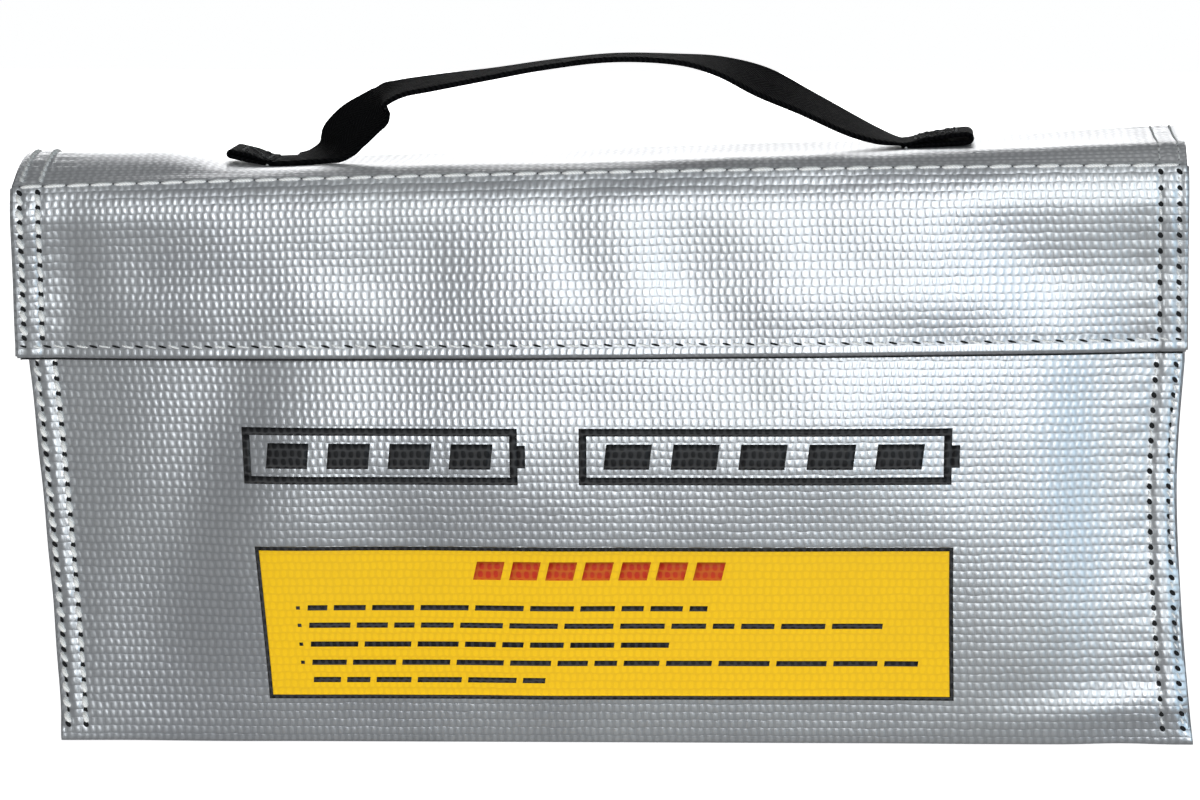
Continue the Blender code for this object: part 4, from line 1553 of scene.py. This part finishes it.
@dataclass
class Handle:
    """The webbing handle: a twisted strap between two folded ends sewn to the lid."""

    stance: Stance
    wardrobe: Wardrobe
    sewing: Sewing
    lid: LidAndBack
    width: float = 0.020
    thickness: float = 0.0011
    left_seam: float = -0.0700
    right_seam: float = 0.0630
    bend_low: float = 0.1215
    bend_high: float = 0.1340

    def route(self) -> np.ndarray:
        """Return the strap's knots: its middle x, y and z, then the way across it, front to rear.

        It leaves the left seam flat, turns up on its edge with a half twist, crosses the top
        nearly flat, and comes down to the right seam with its front edge low.
        """
        knots = (
            (-0.0715, 0.0, 0.10, (0.0, 1.0, 0.0)),
            (-0.0690, 0.0, 0.10, (0.0, 1.0, 0.0)),
            (-0.0655, -0.0010, 0.15, (-0.04, 1.0, 0.02)),
            (-0.0615, -0.0006, 0.45, (-0.12, 0.99, 0.05)),
            (-0.0580, 0.0002, 1.30, (-0.28, 0.95, 0.12)),
            (-0.0560, 0.0007, 3.10, (-0.42, 0.90, 0.17)),
            (-0.0545, 0.0012, 5.20, (-0.48, 0.86, 0.18)),
            (-0.0518, 0.0020, 7.80, (-0.45, 0.87, 0.22)),
            (-0.0491, 0.0027, 9.70, (-0.37, 0.90, 0.235)),
            (-0.0472, 0.0029, 11.5, (-0.235, 0.95, 0.22)),
            (-0.0458, 0.0027, 12.9, (-0.09, 0.99, 0.15)),
            (-0.0414, 0.0020, 14.4, (-0.02, 0.99, 0.10)),
            (-0.0355, 0.0013, 15.3, (0.0, 0.99, 0.09)),
            (-0.0240, 0.0005, 16.8, (0.0, 1.0, 0.04)),
            (-0.0110, 0.0, 18.6, (0.0, 1.0, 0.01)),
            (0.0020, 0.0, 19.6, (0.0, 1.0, 0.0)),
            (0.0150, 0.0, 18.9, (0.0, 1.0, 0.02)),
            (0.0240, 0.0, 17.2, (0.02, 0.99, 0.12)),
            (0.0330, 0.0, 13.6, (0.05, 0.96, 0.24)),
            (0.0420, 0.0, 9.1, (0.08, 0.98, 0.17)),
            (0.0510, 0.0, 4.3, (0.08, 0.99, 0.12)),
            (0.0570, 0.0, 1.7, (0.04, 1.0, 0.06)),
            (0.0615, 0.0, 0.5, (0.0, 1.0, 0.0)),
            (0.0645, 0.0, 0.3, (0.0, 1.0, 0.0)),
        )
        spots = np.array([(x, y, 0.0, *over) for x, y, _, over in knots])
        ends = self.ground(spots[[0, -1], 0]) + self.thickness / 2
        base = np.interp(spots[:, 0], spots[[0, -1], 0], ends)
        spots[:, 2] = base + np.array([rise for _, _, rise, _ in knots]) / 1000
        return spots

    def ground(self, x: np.ndarray) -> np.ndarray:
        """Return the height of the lid under the handle."""
        u = -x * self.stance.half_width / self.stance.lid_half
        return self.lid.cloth.at(u, np.full_like(x, self.lid.lid_v(0.0)))[:, 2]

    def smooth_route(self, parts: int) -> np.ndarray:
        """Return the route as a smooth curve with that many parts between knots."""
        knots = self.route()
        padded = np.concatenate([[2 * knots[0] - knots[1]], knots, [2 * knots[-1] - knots[-2]]])
        found = []
        for index in range(1, len(padded) - 2):
            a, b, c, d = padded[index - 1 : index + 3]
            for t in np.linspace(0, 1, parts, endpoint=False):
                bend = (2 * a - 5 * b + 4 * c - d) * t**2 + (3 * b - a - 3 * c + d) * t**3
                found.append(0.5 * (2 * b + (c - a) * t + bend))
        found.append(knots[-1])
        return np.array(found)

    def section(self) -> np.ndarray:
        """Return the webbing's section: across and up, round its edge, with fuller selvedges."""
        half, thick = self.width / 2, self.thickness / 2
        across = np.array([1, 0.97, 0.9, 0.82, 0.5, 0.15]) * half
        upper = np.array([0.0, 0.85, 1.12, 0.94, 1.0, 1.0]) * thick
        right = np.stack([across, upper], axis=-1)
        top = np.concatenate([right, right[::-1] * (-1, 1)])
        return np.concatenate([top, top[1:-1][::-1] * (1, -1)])

    def ribbon(
        self, name: str, line: np.ndarray, over: np.ndarray, up: np.ndarray, gauge: np.ndarray
    ) -> bpy.types.Object:
        """Sweep the section along a line as one closed piece, with the flat map of its face.

        Args:
            name: The piece's name.
            line: The middle of the ribbon.
            over: The way across it at each point, of unit length.
            up: The way out of its face at each point, of unit length.
            gauge: Its thickness at each point, as a share of the usual.

        Returns:
            The ribbon.
        """
        section = self.section()
        count, ring = len(line), len(section)
        thick = section[None, :, 1:] * gauge[:, None, None]
        spots = line[:, None] + over[:, None] * section[None, :, :1] + up[:, None] * thick
        run = np.concatenate([[0], np.cumsum(np.linalg.norm(np.diff(line, axis=0), axis=1))])
        faces, flats = [], []
        for row in range(count - 1):
            for number in range(ring):
                after = (number + 1) % ring
                low, high = row * ring, (row + 1) * ring
                faces.append((low + number, high + number, high + after, low + after))
                flats.append(
                    [
                        (section[number, 0], run[row]),
                        (section[number, 0], run[row + 1]),
                        (section[after, 0], run[row + 1]),
                        (section[after, 0], run[row]),
                    ]
                )
        first = tuple(range(ring))
        last = tuple(range((count - 1) * ring, count * ring))[::-1]
        faces += [first, last]
        flats += [[(section[number % ring, 0], 0.0) for number in first]]
        flats += [[(section[number % ring, 0], run[-1]) for number in last]]
        mesh = bpy.data.meshes.new(name)
        mesh.from_pydata(spots.reshape(-1, 3).tolist(), [], faces)
        layer = mesh.uv_layers.new(name=CLOTH_MAP)
        for face, flat in zip(mesh.polygons, flats):
            for loop, spot in zip(face.loop_indices, flat):
                layer.data[loop].uv = spot
        mesh.materials.append(self.wardrobe.webbing)
        check = bmesh.new()
        check.from_mesh(mesh)
        bmesh.ops.recalc_face_normals(check, faces=check.faces)
        check.to_mesh(mesh)
        check.free()
        return link(name, mesh)

    def build_strap(self) -> None:
        """Build the strap along its route, turned by its twist."""
        route = self.smooth_route(6)
        line, over = route[:, :3], route[:, 3:]
        run = np.gradient(line, axis=0)
        run /= np.linalg.norm(run, axis=1, keepdims=True)
        over = over - run * (over * run).sum(axis=1, keepdims=True)
        over /= np.linalg.norm(over, axis=1, keepdims=True)
        sewn = np.minimum(line[:, 0] - self.left_seam, self.right_seam - line[:, 0])
        gauge = 0.6 + 0.4 * smooth(sewn, 0.0005, 0.006)
        piece = self.ribbon("handle_strap_webbing", line, over, np.cross(run, over), gauge)
        refine(piece)
        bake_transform(piece)
        tagged(piece, "webbing", "handle_strap")

    def build_end(self, name: str, side: int, sewn: float, length: float, lift: float, puff: float) -> None:
        """Build one sewn end: the webbing runs out, folds under and comes back to the seam.

        Args:
            name: Which end.
            side: -1 for the left end, 1 for the right.
            sewn: The X of the seam that pinches it down.
            length: How far it runs out from the seam.
            lift: How far its outer end stands off the lid.
            puff: How far the fold gapes.
        """
        x = sewn + side * np.linspace(-0.0012, length, 14)
        out = (x - sewn) * side
        gauge = 0.55 + 0.30 * smooth(out, 0.0004, 0.004)
        thick = self.thickness * gauge
        base = self.ground(x) + thick / 2 + 0.0001
        lower = np.stack([x, np.zeros_like(x), base + lift * np.clip(out / length, 0, 1) ** 1.1], axis=-1)
        tall = thick + 0.00004 + puff * smooth(out, 0.001, length)
        upper = lower + tall[:, None] * (0, 0, 1)
        turn = np.linspace(0, np.pi, 9)[1:-1]
        middle = (lower[-1] + upper[-1]) / 2
        bend = middle + np.stack(
            [side * np.sin(turn) * tall[-1] * 0.6, np.zeros(7), -np.cos(turn) * tall[-1] / 2], axis=-1
        )
        line = np.concatenate([lower, bend, upper[::-1]])
        gauges = np.concatenate([gauge, np.full(7, gauge[-1]), gauge[::-1]])
        run = np.gradient(line, axis=0)
        run /= np.linalg.norm(run, axis=1, keepdims=True)
        over = np.tile((0.0, 1.0, 0.0), (len(line), 1))
        piece = self.ribbon(f"handle_end_{name}", line, over, np.cross(run, over), gauges)
        refine(piece)
        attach(piece, "lid")
        tagged(piece, "webbing", f"handle_tail_{name}")
        self.sew_end(name, sewn, x, upper + (0, 0, 1) * thick[:, None] / 2)

    def sew_end(self, name: str, sewn: float, x: np.ndarray, upper: np.ndarray) -> None:
        """Sew the box with a cross that holds an end to the lid."""
        half = self.width / 2
        u = np.linspace(-half, half, 5)
        order = np.argsort(x)
        wide, _ = np.meshgrid(u, x[order])
        top = np.repeat(upper[order][:, None], 5, axis=1)
        top[..., 1] = -wide
        grid = ClothGrid(u, x[order], top)
        low, high = x[order][3], x[order][-3]
        edge = half - 0.003
        path = [(-edge, low), (edge, low), (edge, high), (-edge, high), (-edge, low), (edge, high)]
        box = Run(0.0022, Ply.BLACK, gauge=0.6, pierced=0.0004)
        made = self.sewing.row(f"handle_stitches_{name}", grid, np.array(path), box)
        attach(made, "lid")
        tagged(made, "black_thread", f"tail_thread_{name}")
        at = -sewn * self.stance.half_width / self.stance.lid_half
        front = [(at, self.lid.lid_v(-half + 0.0006)), (at, self.lid.lid_v(-half - 0.0016))]
        lock = self.sewing.row(f"handle_lock_stitch_{name}", self.lid.cloth, np.array(front), Run(0.0022))
        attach(lock, "lid")
        tagged(lock, "white_thread")

    def build(self) -> None:
        """Build the strap and both ends."""
        self.build_strap()
        self.build_end("left", -1, self.left_seam, 0.0076, 0.0009, 0.0001)
        self.build_end("right", 1, self.right_seam, 0.0126, 0.0002, 0.0008)


# ---------------------------------------------------------------- stage


@dataclass(frozen=True)
class Lamp:
    """A soft rectangular lamp, hung by direction and distance from the bag."""

    name: str
    azimuth: float
    elevation: float
    distance: float
    width: float
    height: float
    glow: float
    color: tuple = (1.0, 1.0, 1.0)
    aim: tuple = (0.0, 0.0, 0.06)

    def hang(self) -> None:
        """Put the lamp in the scene. Its power follows from its glow and its area."""
        light = bpy.data.lights.new(self.name, "AREA")
        light.shape = "RECTANGLE"
        light.size, light.size_y = self.width, self.height
        light.energy = self.glow * math.pi * self.width * self.height
        light.color = self.color
        lamp = bpy.data.objects.new(self.name, light)
        away = way_out(self.azimuth, self.elevation)
        lamp.location = Vector(self.aim) + away * self.distance
        lamp.rotation_euler = away.to_track_quat("Z", "Y").to_euler()
        lamp.visible_camera = False
        bpy.context.scene.collection.objects.link(lamp)


LAMPS = (
    Lamp("key_softbox", 7.5, 11, 1.7, 0.70, 1.0, 3.1, (0.94, 0.985, 1.0)),
    Lamp("side_sky", 44, 4, 1.7, 1.2, 1.2, 1.15, (0.58, 0.82, 1.0)),
    Lamp("backdrop_glow", 175, 9, 2.6, 2.9, 0.9, 3.2),
    Lamp("overhead", 170, 66, 1.7, 1.6, 0.9, 0.25),
)


@dataclass
class Studio:
    """The pale floor, the soft lights and the camera."""

    aim: Vector = field(default_factory=lambda: Vector((0.0006, -0.0375, 0.0717)))
    distance: float = 1.26
    azimuth: float = 2.85
    elevation: float = 6.0
    roll: float = 0.22
    lens: float = 185.0

    def floor(self) -> None:
        """Lay the floor. It glows a little, as a lit sheet of paper does."""
        deselect()
        bpy.ops.mesh.primitive_plane_add(size=24, location=(0, 0, -0.0004))
        ground = bpy.context.active_object
        ground.name = "pale_floor"
        graph = Graph("pale_floor")
        graph.set(Base_Color=(0.86, 0.86, 0.86, 1), Roughness=0.95)
        graph.set(Emission_Color=(1, 1, 1, 1), Emission_Strength=0.85)
        ground.data.materials.append(graph.material)
        ground.visible_glossy = False

    def lights(self) -> None:
        """Set the dim world and hang the lamps."""
        world = bpy.data.worlds.new("studio")
        world.use_nodes = True
        back = world.node_tree.nodes["Background"]
        back.inputs[0].default_value = (0.95, 0.985, 1.0, 1)
        back.inputs[1].default_value = 0.17
        bpy.context.scene.world = world
        for lamp in LAMPS:
            lamp.hang()

    def camera(self) -> None:
        """Place the camera at the bag's front, a little above and to the right."""
        data = bpy.data.cameras.new("camera")
        data.lens = self.lens
        data.sensor_width = 36
        data.clip_start, data.clip_end = 0.05, 50
        camera = bpy.data.objects.new("camera", data)
        back = way_out(self.azimuth, self.elevation)
        camera.location = self.aim + back * self.distance
        look = (-back).to_track_quat("-Z", "Y").to_matrix()
        camera.rotation_euler = (look @ Matrix.Rotation(math.radians(-self.roll), 3, "Z")).to_euler()
        bpy.context.scene.collection.objects.link(camera)
        bpy.context.scene.camera = camera

    def build(self) -> None:
        """Set the whole stage."""
        self.floor()
        self.lights()
        self.camera()
        view = bpy.context.scene.view_settings
        view.view_transform = "Standard"
        view.look = "None"


# ---------------------------------------------------------------- all together


def main() -> None:
    """Build the bag in order, from the body to the handle."""
    logging.basicConfig(level=logging.INFO, format="%(name)s %(message)s")
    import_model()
    stance = Stance.of_frame()
    wardrobe = Wardrobe()
    sewing = Sewing(wardrobe)

    pouch = Pouch(stance, wardrobe, sewing)
    pouch.build_front()
    for name, side in SIDES:
        pouch.build_gusset(name, side)
    lid = LidAndBack(stance, wardrobe, sewing)
    lid.build()
    pouch.build_linings(lid.cloth)
    pouch.sew(lid.cloth)
    pouch.tape()
    prints = Prints(pouch.front, wardrobe)
    prints.label()
    prints.title()
    lid.sew()
    lid.line()
    flap = Flap(stance, wardrobe, sewing, pouch)
    flap.build()
    flap.sew()
    flap.line()
    Handle(stance, wardrobe, sewing, lid).build()
    Studio().build()


if __name__ == "__main__":
    main()
